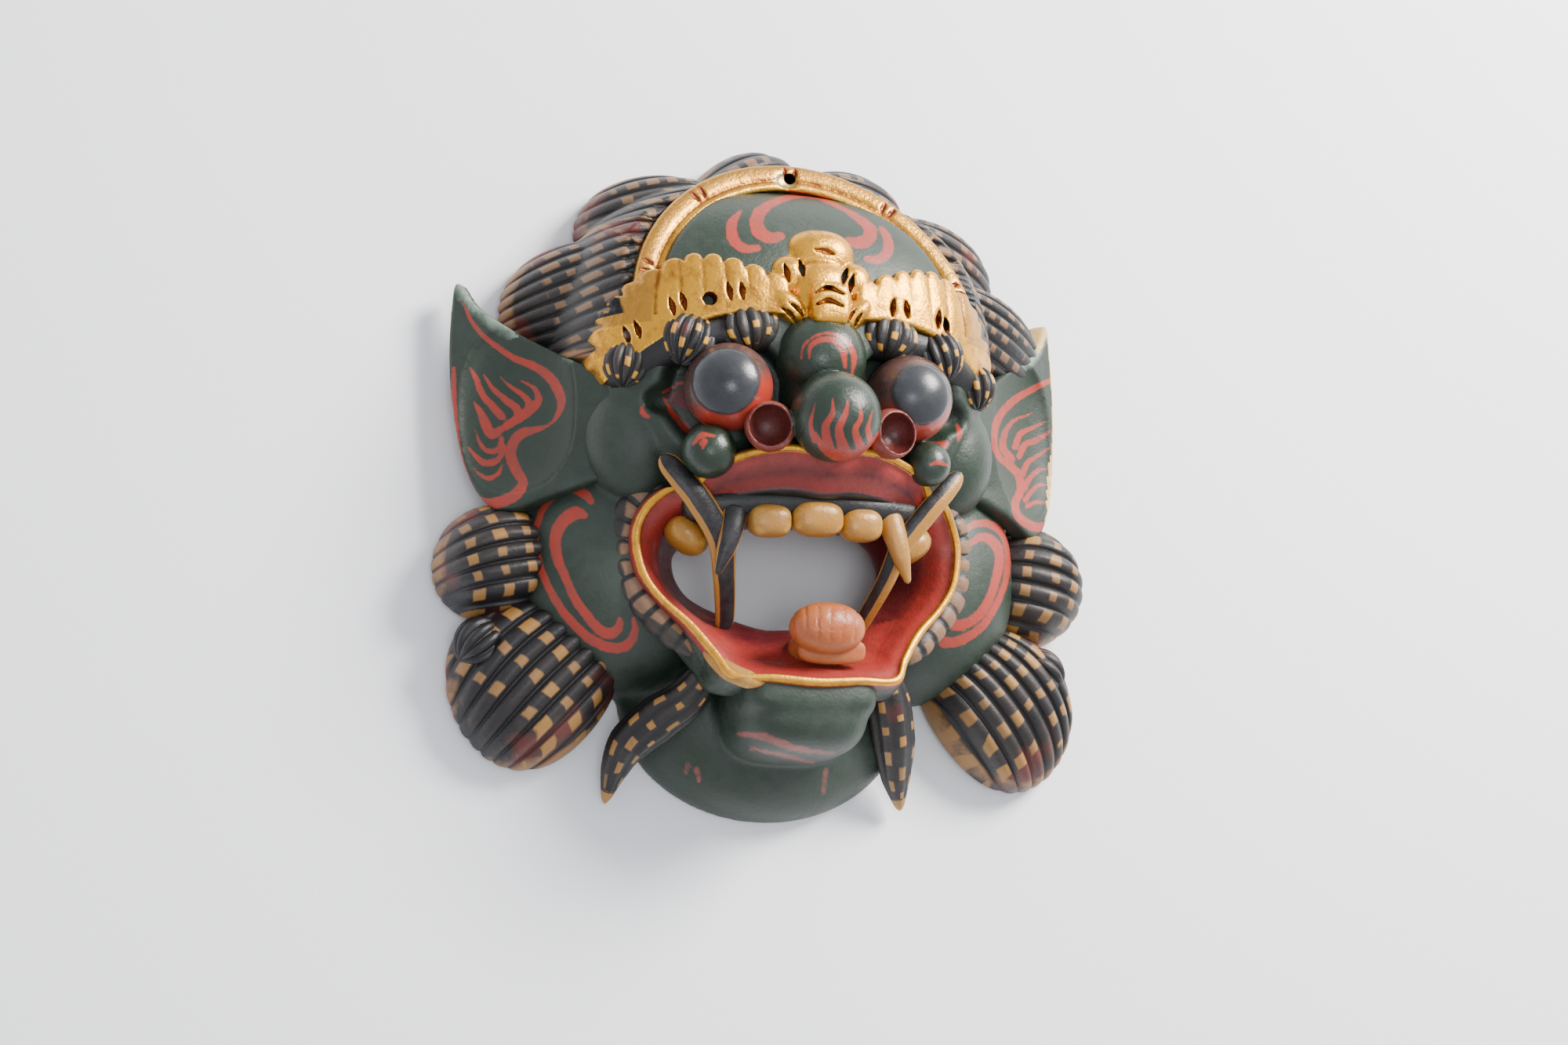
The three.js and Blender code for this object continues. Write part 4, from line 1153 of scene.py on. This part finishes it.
def goldCuts():
    # (path, half widths, depth) of each
    out = []
    for u, v, lean in cuts["slits"]:
        out.append(([(u - lean, v - 12), (u, v), (u + lean * 0.6, v + 12)], [0.8, 4.6, 0.8], 2.6))
    for u, v in cuts["leftWhiskers"]:
        out.append(([(u - 11, v - 9), (u, v - 2), (u + 9, v + 10)], [0.8, 3.0, 0.8], 1.9))
    for u, v in cuts["rightWhiskers"]:
        out.append(([(u + 6, v - 10), (u, v - 2), (u - 5, v + 9)], [0.8, 2.4, 0.8], 1.6))
    for v in cuts["lids"]:
        out.append(([(u, v + rise) for u, rise in cuts["lidPath"]], [1.2, 3.8, 1.2], 2.4))
    out.append((cuts["top"], [1.0, 4.0, 1.2], 1.5))
    return out


def crownNotches():
    # pairs of short cuts across the band's outer edge
    out = []
    for angle in np.radians(np.linspace(crown["notchFrom"], crown["notchTo"], crown["notches"])):
        for apart in (-crown["notchApart"], crown["notchApart"]):
            radius = crown["outside"] - 2.4
            x, y = radius * math.cos(angle + apart), crown["centre"][1] + radius * math.sin(angle + apart)
            turn = (0, 0, math.degrees(angle) + apart * 300)
            out.append(ovoid((x, y, crownHeight(y) + 3.4), (3.6, 0.9, 2.4), 2.0, turn))
    return out


def wingShape(outline, side):
    # one wing of the diadem, fluted towards its upper edge
    skin = ovoid(brow["at"], brow["radii"], brow["square"])[0]
    edge = [(x * side, y) for x, y in outline]
    inEdge = slab(edge, 0, 120)[0]

    def distance(x, y, z):
        lobe = np.abs(np.sin(math.pi * (np.abs(x) - wings["inner"]) / wings["flute"])) ** 0.5
        fluted = np.clip((y - 50 + np.abs(x) * 0.2) / 12, 0, 1) * np.clip((68 - np.abs(x)) / 8, 0, 1)
        depth = skin(x, y, z) - wings["raise"] - (lobe - 0.5) * wings["fluteDepth"] * fluted
        shell = -softMin(-depth, -inEdge(x, y, z), 1.6)
        return np.maximum(shell, -(skin(x, y, z) + 3.0))

    return distance, *slab(edge, 24, 90)[1:]


def makeGold():
    clay = Clay((-80, 18, 26), (80, 110, 92), 0.70)
    clay.add((crownBand, (-68, 36, 26), (68, 110, 70)))
    outline = wingOutline()
    for side in sides:
        clay.add(wingShape(outline, side), 0.6)
    for at, radii, square, tilt in ornament:
        clay.add(ovoid(at, radii, square, (0, 0, tilt)), 0.35)
    grooves, notches = goldCuts(), crownNotches()
    for path, widths, depth in grooves:
        carve(clay, path, widths, depth)
    for shape in notches:
        clay.cut(shape, 0.4)
    (pegX, pegY), pegRadius = wings["peg"], wings["pegRadius"]
    clay.cut(ovoid((pegX, pegY, browTop(pegX, pegY, 3.2)), (pegRadius, pegRadius, 6)), 0.3)
    hangY = crown["centre"][1] + (crown["inside"] + crown["outside"]) / 2
    clay.cut(ovoid((0, hangY, 50), (crown["hole"], crown["hole"], 40)), 0.3)
    clay.cut(ovoid((-1.5, hangY - 1, crownHeight(hangY) + 3.2), (4.2, 3.4, 2.6), 2.4), 0.5)
    clay.cut(hollowShapes(headShape["hiddenDepth"])[0])
    points, quads = clay.surface()
    x, y, z = points.T
    notch = np.full(len(points), farAway)
    for distance, low, high in notches:
        near = np.all((points > np.array(low) - 2) & (points < np.array(high) + 2), axis=1)
        notch[near] = np.minimum(notch[near], distance(x[near], y[near], z[near]) - 0.25)
    drawn = painted(points, [(path, [w * 0.8 for w in widths]) for path, widths, depth in grooves], 8)
    # dark red-brown in the carved slits, the notches and the peg hole is painted shade in the cuts
    slit = np.minimum(np.minimum(notch, drawn), np.hypot(x - pegX, y - pegY) - pegRadius - 0.3)
    rho, ax = np.hypot(x, y - crown["centre"][1]), np.abs(x)
    lobe = np.abs(np.sin(math.pi * (ax - wings["inner"]) / wings["flute"]))
    onWing = (rho < crown["inside"] - 1) & (ax > 17) & (ax < 60) & (y > 50 - ax * 0.2)
    inner = np.abs(rho - crown["inside"] - 3.2) - 0.6
    outer = (rho > crown["outside"] - 0.6) & (y > 44)
    values = {
        # dark brown along the valleys between the wings' flutes: worn gilt and painted shade
        "fluteValleyWearAndShade": np.where(onWing, lobe * 2.4 - 0.35, farAway),
        "band": np.where((rho > crown["inside"] + 4) & (y > 40), -1.0, farAway),
        "groove": np.where((rho < crown["outside"] + 2) & (y > 42), inner, farAway),
        "chip": np.hypot((x + 2.5) / 1.2, y - hangY + 1) - 3.6,
        "slit": slit,
        # black in the hanging hole is painted shade
        "hole": np.hypot(x, y - hangY) - crown["hole"] - 0.3,
        "rimSide": np.where(outer, z - crownHeight(y) + 3.2, farAway),
    }
    layers = [
        ("fluteValleyWearAndShade", "goldDark", "bandWorn", 0.7, 0.8), ("band", "bandGold", "bandWorn", 0.5, 0.6),
        ("groove", "goldDark", "redBrown", 0.5, 0.6), ("chip", "cream", "woodDark", 0.4, 1.2),
        ("slit", "redBrown", "redDark", 0.25, 0.2), ("hole", "black", "black", 0.2, 0.2),
        ("rimSide", "black", "blackDusty", 0.4, 0.5),
    ]
    paint = agedPaint("wornGoldPaint", "gold", "goldDark", layers, rough=0.36, metal=0.8, dustAmount=0.9,
                      edgeWearAndHighlight="goldPale", edgeWearAndHighlightAmount=0.9, grain=0.8, hollowGrimeAndShade="goldDark", fleck=3.0)
    makePiece("goldWork", points, quads, paint, values)


makeGold()
print("gold work made")


# Hair: rounded locks grooved by strands, one node group for all of them
hairGrain = {"broad": 30.0, "fine": 300.0, "sway": 40.0, "blush": 45.0}  # noise scales
bareBelow = 0.0006  # metres above the floor up to which the wood has no paint


def hairMaterial(name, long=0.28, wide=0.27, slant=0.42, drop=0.16, patch="patchTan", patchWorn="patchBrown"):
    # strand counts across the lock and along counts rows of patches; there are none where zone is above 0
    material = bpy.data.materials.new(name)
    material.use_nodes = True
    tree = material.node_tree
    graph = Graph(tree)
    shader = tree.nodes["Principled BSDF"]
    place = graph.make("ShaderNodeTexCoord", None, None, "Object")
    broad, fine = graph.noise(place, hairGrain["broad"]), graph.noise(place, hairGrain["fine"], 4.0, 0.6)
    flecks = graph.noise(place, paintGrain["flecks"], 2.0)
    strand, along, rim, zone = (graph.value(key) for key in ("strand", "along", "rim", "zone"))
    row = along + strand.floor() * slant + (graph.noise(place, hairGrain["sway"], 1.0) - 0.5) * 1.1
    cell = graph.combine(strand.floor(), row.floor(), 0.0)
    chance = graph.make("ShaderNodeTexWhiteNoise", {"noise_dimensions": "2D"}, {"Vector": cell})
    off = abs(strand.fract() - 0.5) + (fine - 0.5) * 0.10
    gap = abs(row.fract() - 0.5) + (fine - 0.5) * 0.10 + (chance - 0.5) * 0.14
    inPatch = (off + (chance - 0.5) * 0.08).within(wide, 0.04) * gap.within(long, 0.03)
    mask = inPatch * (drop - chance).within(0.0, 0.01) * zone.within(0.0, 0.02)
    crest = off.within(0.36, 0.10)
    dust = ((broad - 0.4) * 2.0 + (fine - 0.5) * 0.6).atLeast(0.0).atMost(1.0) * crest * 0.8
    color = graph.mix(dust, withAlpha("black"), withAlpha("hairDusty"))
    blotch = (graph.noise(place, hairGrain["blush"], 1.0) - 0.62) * 9.0
    blush = ((rim - 0.62) * 4.0 + blotch).atLeast(0.0).atMost(1.0) * 0.55
    color = graph.mix(blush, color, withAlpha("redBrown"))
    patchColor = graph.mix((chance * 0.6 + fine * 0.5).atMost(1.0), withAlpha(patch), withAlpha(patchWorn))
    color = graph.mix(mask * (0.66 + fine * 0.5).atMost(1.0), color, patchColor)
    rubbed = ((broad - 0.45) * 8.0 + (fine - 0.5) * 1.5).atLeast(0.0).atMost(1.0)
    color = graph.mix(abs(rim - 0.90).within(0.055, 0.015) * rubbed * crest * 0.9, color, withAlpha("tan"))
    parts = tree.nodes.new("ShaderNodeSeparateXYZ")
    plug(tree, parts.inputs[0], place)
    bare = Wire(tree, parts.outputs[2]).within(bareBelow, 0.0001)
    color = graph.mix(bare, color, graph.mix(fine, withAlpha("woodDark"), withAlpha("wood")))
    rawEdge = ((rim - 0.955) / 0.02 + (fine - 0.5)).atLeast(0.0).atMost(1.0) * zone.within(50.0, 1.0) * 0.8
    color = graph.mix(rawEdge, color, withAlpha("rawEdge"))
    plug(tree, shader.inputs["Base Color"], color)
    plug(tree, shader.inputs["Roughness"], (0.5 + (broad - 0.5) * 0.4).atLeast(0.2).atMost(0.9))
    graph.roughen(shader, 0.5, fine, flecks)
    return material


lockInputs = [
    "AtX", "AtY", "Reach", "Spread", "Heading", "Inner", "Outer", "Edge", "Strands", "Bend", "Side",
    "Groove", "Fan", "Every", "From", "To", "Lift",
]
lockShape = {"across": 12, "rows": 74, "shoulder": 0.92, "overSkin": 2.6, "bandGap": 1.2, "tuck": 9.0}


def lockGroup(material):
    shoulder, overSkin = lockShape["shoulder"], lockShape["overSkin"]
    tree = bpy.data.node_groups.new("lockOfHair", "GeometryNodeTree")
    tree.interface.new_socket("Geometry", in_out="INPUT", socket_type="NodeSocketGeometry")
    for key in lockInputs:
        tree.interface.new_socket(key, in_out="INPUT", socket_type="NodeSocketFloat")
    tree.interface.new_socket("Geometry", in_out="OUTPUT", socket_type="NodeSocketGeometry")
    graph = Graph(tree)
    source = tree.nodes.new("NodeGroupInput")
    value = {key: Wire(tree, source.outputs[key]) for key in lockInputs}
    columns = value["Strands"] * lockShape["across"] + 1
    gridSize = {"Size X": 2.0, "Size Y": 2.0, "Vertices X": lockShape["rows"], "Vertices Y": columns}
    grid = graph.make("GeometryNodeMeshGrid", None, gridSize)
    spot = graph.make("GeometryNodeInputPosition")
    parts = tree.nodes.new("ShaderNodeSeparateXYZ")
    plug(tree, parts.inputs[0], spot)
    a, b = Wire(tree, parts.outputs[0]), Wire(tree, parts.outputs[1])
    # the square grid becomes a disc: a dome out to the shoulder, and a steep side from there to the edge
    u = a * (1 - b * b * 0.5).sqrt()
    v = b * (1 - a * a * 0.5).sqrt()
    radius = (u * u + v * v).sqrt()
    wall = ((radius - shoulder) / (1 - shoulder)).atLeast(0.0)
    wallShare = wall.atMost(1.0)
    dome = (radius / shoulder).atMost(1.0)
    squeeze = dome / radius.atLeast(0.0001) * (1 - wall * wall * 0.07)
    strand = (b + 1) * 0.5 * value["Strands"]
    dip = 1 - abs((strand * math.pi).sin()) ** 0.62
    squeeze = squeeze * (1 - dip * wallShare * 0.025 - dip * (dome ** 8) * 0.02)
    swell = (1 - (dome ** 2.6)).atLeast(0.0).sqrt()
    crest = value["Inner"] + (value["Outer"] - value["Inner"]) * (u * 0.5 + 0.5)
    height = value["Edge"] * (1 - wall * wall) + (crest - value["Edge"]) * swell
    angle = value["Heading"] * (math.pi / 180)

    def spread(scale):
        lengthwise = u * scale * value["Reach"]
        bowed = v * scale * value["Spread"] * (1 + u * value["Fan"]) + value["Bend"] * (1 - u * u)
        x = (value["AtX"] + lengthwise * angle.cos() - bowed * angle.sin()) * value["Side"]
        return lengthwise, x, value["AtY"] + lengthwise * angle.sin() + bowed * angle.cos()

    lengthwise, x, y = spread(squeeze)
    footX, footY = spread((1 - dip * 0.045) * 0.93)[1:]
    # over the brow the lock lies on it, and it stops at the crown band
    power = brow["square"]
    skinX, skinY, skinZ = (r + overSkin for r in brow["radii"])
    browY, browZ = brow["at"][1:]
    over = 1 - abs(x / skinX) ** power - abs((y - browY) / skinY) ** power
    skin = over.atLeast(0.0) ** (1 / power) * skinZ + browZ
    crownY = y - crown["centre"][1]
    fromCrown = (x * x + crownY * crownY).sqrt() - crown["outside"]
    beyond = (fromCrown / lockShape["bandGap"] + 0.6).atLeast(0.0).atMost(1.0)
    skin = skin.atMost(crown["low"] - (y - crown["lowAt"]) * crown["lean"] - 2.0)
    high = ((y - 20.0) * 0.2).atLeast(0.0).atMost(1.0)
    inBrow = (over * 40.0).atLeast(0.0).atMost(1.0) * high * (1 - wall).atLeast(0.0)
    height = height + (skin - height).atLeast(0.0) * inBrow * beyond
    height = height - (1 - beyond) * lockShape["tuck"] * high
    height = height - dip * value["Groove"] * (swell * 2.4).atMost(1.0)
    thin = headShape["wall"] - headShape["hiddenDepth"]
    roofX, roofY, roofZ = (r - thin for r in brow["radii"])
    hollowY, hollowZ = headShape["hollowAt"][1:]

    def roof(px, py):
        # how low the lock may reach, which is higher where the hollow of the head lies under it
        inside = 1 - abs(px / roofX) ** power - abs((py - hollowY) / roofY) ** power
        under = inside.atLeast(0.0) ** (1 / power) * roofZ + hollowZ
        overHollow = (inside * 500.0).atLeast(0.0).atMost(1.0)
        return value["Lift"] + (under - value["Lift"]).atLeast(0.0) * overHollow

    height = height.atLeast(roof(x, y) + 0.3 * (1 - wallShare))
    # the values are read from the flat grid, before it is moved
    flat = grid
    values = {
        "strand": strand, "along": (lengthwise + value["Reach"]) / value["Every"], "rim": radius,
        "zone": (value["From"] - u).atLeast(u - value["To"]),
    }
    for name, number in values.items():
        kind = {"data_type": "FLOAT", "domain": "POINT"}
        inputs = {"Geometry": flat, "Name": name, "Value": number}
        flat = graph.make("GeometryNodeStoreNamedAttribute", kind, inputs)
    topSpot = graph.combine(x * metre, y * metre, height.atLeast(value["Lift"]) * metre)
    footSpot = graph.combine(footX * metre, footY * metre, roof(footX, footY) * metre)
    top = graph.make("GeometryNodeSetPosition", None, {"Geometry": flat, "Position": topSpot})
    under = graph.make("GeometryNodeSetPosition", None, {"Geometry": flat, "Position": footSpot})
    under = graph.make("GeometryNodeFlipFaces", None, {"Mesh": under})
    both = tree.nodes.new("GeometryNodeJoinGeometry")
    tree.links.new(under.socket, both.inputs[0])
    tree.links.new(top.socket, both.inputs[0])
    welded = {"Geometry": Wire(tree, both.outputs[0]), "Distance": 0.00001}
    merged = graph.make("GeometryNodeMergeByDistance", None, welded)
    shaded = graph.make("GeometryNodeSetShadeSmooth", None, {"Geometry": merged})
    real = graph.make("GeometryNodeRealizeInstances", None, {"Geometry": shaded})
    done = graph.make("GeometryNodeSetMaterial", None, {"Geometry": real, "Material": material})
    target = tree.nodes.new("NodeGroupOutput")
    plug(tree, target.inputs[0], done)
    return tree


crownHair = dict(Edge=5, Bend=0, Groove=2.4, Fan=0.1, Every=6.6, From=-2, To=0.55)
sideHair = dict(Groove=2.8, From=-0.6, To=0.72)
locks = {
    "topLock": dict(crownHair, AtX=-3, AtY=100, Reach=24, Spread=21.5, Heading=18, Inner=40, Outer=32,
                    Strands=7, Side=1),
    "rightLock1": dict(crownHair, AtX=31, AtY=97, Reach=28, Spread=20, Heading=-8, Inner=46, Outer=28,
                       Strands=7, Side=1),
    "rightLock2": dict(crownHair, AtX=61, AtY=80, Reach=32, Spread=20, Heading=-13, Inner=56, Outer=24,
                       Strands=8, Side=1),
    "rightLock3": dict(crownHair, AtX=79, AtY=56, Reach=33, Spread=19, Heading=-16, Inner=60, Outer=22,
                       Strands=8, Side=1),
    "leftLock1": dict(crownHair, AtX=39, AtY=89, Reach=29, Spread=21, Heading=-8, Inner=48, Outer=26,
                      Strands=8, Side=-1),
    "leftLock2": dict(crownHair, AtX=64, AtY=58, Reach=32, Spread=25.5, Heading=-14, Inner=62, Outer=24,
                      Strands=11, Side=-1),
    "leftSideLock1": dict(sideHair, AtX=97.5, AtY=-36, Reach=23, Spread=20.5, Heading=-12, Inner=30, Outer=32,
                          Edge=5, Every=10.4, Strands=7, Bend=2, Side=-1, Fan=0),
    "leftSideLock2": dict(sideHair, AtX=81.5, AtY=-76, Reach=33, Spread=29, Heading=-44, Inner=34, Outer=22,
                          Edge=4, Every=11.2, Strands=9, Bend=5, Side=-1, Fan=0.1),
    "rightSideLock1": dict(sideHair, AtX=100, AtY=-36, Reach=22.5, Spread=22, Heading=-12, Inner=30, Outer=32,
                           Edge=5, Every=10.4, Strands=7, Bend=2, Side=1, Fan=0),
    "rightSideLock2": dict(sideHair, AtX=86, AtY=-80, Reach=33, Spread=26.5, Heading=-47, Inner=34, Outer=22,
                           Edge=4, Every=11.2, Strands=9, Bend=5, Side=1, Fan=0.1),
}


def makeLocks():
    paints = {
        "crown": hairMaterial("paintedCrownHair", 0.27, 0.25),
        "side": hairMaterial("paintedSideHair", 0.20, 0.28, 0.0, 0.06, "patchGold", "patchTan"),
    }
    groups = {key: lockGroup(paint) for key, paint in paints.items()}
    sockets = groups["crown"].interface.items_tree
    identifiers = {item.name: item.identifier for item in sockets if item.in_out == "INPUT"}
    for name, sizes in locks.items():
        carrier = bpy.data.objects.new(name, bpy.data.meshes.new(name + "Base"))
        bpy.context.scene.collection.objects.link(carrier)
        modifier = carrier.modifiers.new("lock", "NODES")
        family = "side" if "SideLock" in name else "crown"
        modifier.node_group = groups[family]
        lift = 0.05 + 0.3 * (len(madePieces) % 2)  # neighbours' flat backs lie at two heights
        for key, number in dict(sizes, Lift=lift).items():
            modifier[identifiers[key]] = float(number)
        depsgraph = bpy.context.evaluated_depsgraph_get()
        evaluated = carrier.evaluated_get(depsgraph)
        result = bpy.data.meshes.new_from_object(
            evaluated, preserve_all_data_layers=True, depsgraph=depsgraph)
        carrier.modifiers.clear()
        if sizes["Side"] < 0:
            result.flip_normals()
        result.name = name
        carrier.data = result
        finishPiece(carrier, paints[family])


makeLocks()
print("locks made")


# Tufts, moustache roll and brow curls
tufts = {
    "right": {"path": [(33, -70, 36), (38, -82, 30), (43, -94, 21), (47, -106, 12), (51, -117, 5)],
              "widths": [6, 8.4, 8.2, 5.6, 1.2]},
    "left": {"path": [(-29.5, -72, 40), (-37, -83.5, 31), (-45.5, -90, 24), (-53.5, -97.5, 16.5),
                      (-57, -106, 10.5), (-59, -117, 4.5)],
             "widths": [5, 7.2, 8.2, 7.4, 5.0, 1.2]},
    "tip": 5.5, "every": 11.5, "above": 0.6,
}
moustache = {
    "path": [(42, -9, 50), (52, -13, 44), (59.5, -21, 41), (62, -32, 39), (60.5, -43, 39), (54, -54, 41),
             (46, -63, 43), (38, -71, 45)],
    "widths": [5, 5.6, 5.6, 5.6, 5.4, 5, 4.4], "rolls": 12,
}
curls = {  # place, radii, tilt and ribs of each
    "brow": [((25.5, 38.5, 71), (12, 8.5, 9), -12, 14), ((45.5, 34, 67), (10, 9.5, 9.5), 20, 14),
             ((64, 27, 55), (8.5, 8, 9), 10, 12)],
    "side": [((-105.5, -64, 14), (9.5, 9.5, 10), -50, 11), ((103, -67, 15), (9, 9.5, 9.5), 55, 11)],
    "roll": [(14, 36, 72), (33, 37, 68), (50, 33, 63), (70, 22, 48)], "rollWidths": [6, 7, 7, 6],
}


def makeTufts():
    parts = []
    for key in ("right", "left"):
        path, widths = tufts[key]["path"], tufts[key]["widths"]
        points, faces, values = sweep(path, widths, depth=0.9, around=48, steps=70, lobes=4, lobeDepth=0.16,
                                      endRound=0.06)
        points[:, 2] = np.maximum(points[:, 2], tufts["above"])
        across, along = values["across"], values["along"]
        tip = along > along.max() - tufts["tip"]
        parts.append((points, faces, {
            "strand": np.where(tip, 0.5, across / 45 + 0.5),
            "along": np.where(tip, 0.5, along / tufts["every"]),
            "rim": np.full(len(along), 0.5),
            "zone": np.where(tip | ((across > 35) & (across < 135)), -1.0, 1.0),
        }))
    points, faces, values = joinParts(parts)
    paint = hairMaterial("paintedTufts", 0.19, 0.23, 0.5, 0.12, "patchTan", "patchGold")
    makePiece("chinTufts", points, faces, paint, values)


def makeMoustache():
    parts, rolls = [], moustache["rolls"]
    for side in sides:
        path = [mirror(q, side) for q in moustache["path"]]
        points, faces, values = sweep(path, moustache["widths"], around=32, steps=160, beads=rolls,
                                      beadDepth=0.16)
        around = (values["across"] - (90 + 12 * side)) / 150 + 0.5
        parts.append((points, faces, {
            "strand": values["along"] / values["along"].max() * rolls,
            "along": around,
            "rim": np.full(len(around), 0.5),
            "zone": np.abs(around - 0.5) - 0.4,
        }))
    points, faces, values = joinParts(parts)
    paint = hairMaterial("paintedMoustache", 0.25, 0.33, 0.0, 0.0, "tanPink", "patchTan")
    makePiece("moustacheRoll", points, faces, paint, values)


def makeCurls():
    parts = []
    for at, radii, tilt, ribs in curls["side"]:
        rings, strand, along = ribbedBall(at, radii, (0, 0, tilt), ribs, 1.9, around=ribs * 10, rings=40)
        same = np.ones(len(along))
        values = {"strand": strand, "along": along * 2.6, "rim": same * 0.7, "zone": same}
        parts.append((*closedGrid(rings), values))
    for side in sides:
        for at, radii, tilt, ribs in curls["brow"]:
            rings, strand, along = ribbedBall(
                mirror(at, side), radii, (0, 0, tilt * side), ribs, 1.7, around=ribs * 8, rings=34)
            values = {"strand": strand, "along": along * radii[1] * 0.33, "rim": np.full(len(along), 0.5)}
            parts.append((*closedGrid(rings), dict(values, zone=np.abs(along - 0.5) - 0.3)))
        roll = sweep([mirror(q, side) for q in curls["roll"]], curls["rollWidths"], steps=40)
        same = np.ones(len(roll[2]["across"]))
        parts.append((*roll[:2], {"strand": same * 0.98, "along": same * 0, "rim": same * 0, "zone": same}))
    points, faces, values = joinParts(parts)
    paint = hairMaterial("paintedCurls", 0.2, 0.27, 0.35, 0.45, "patchGold", "gold")
    makePiece("browCurls", points, faces, paint, values)


makeTufts()
makeMoustache()
makeCurls()
print("tufts, moustache and curls made")
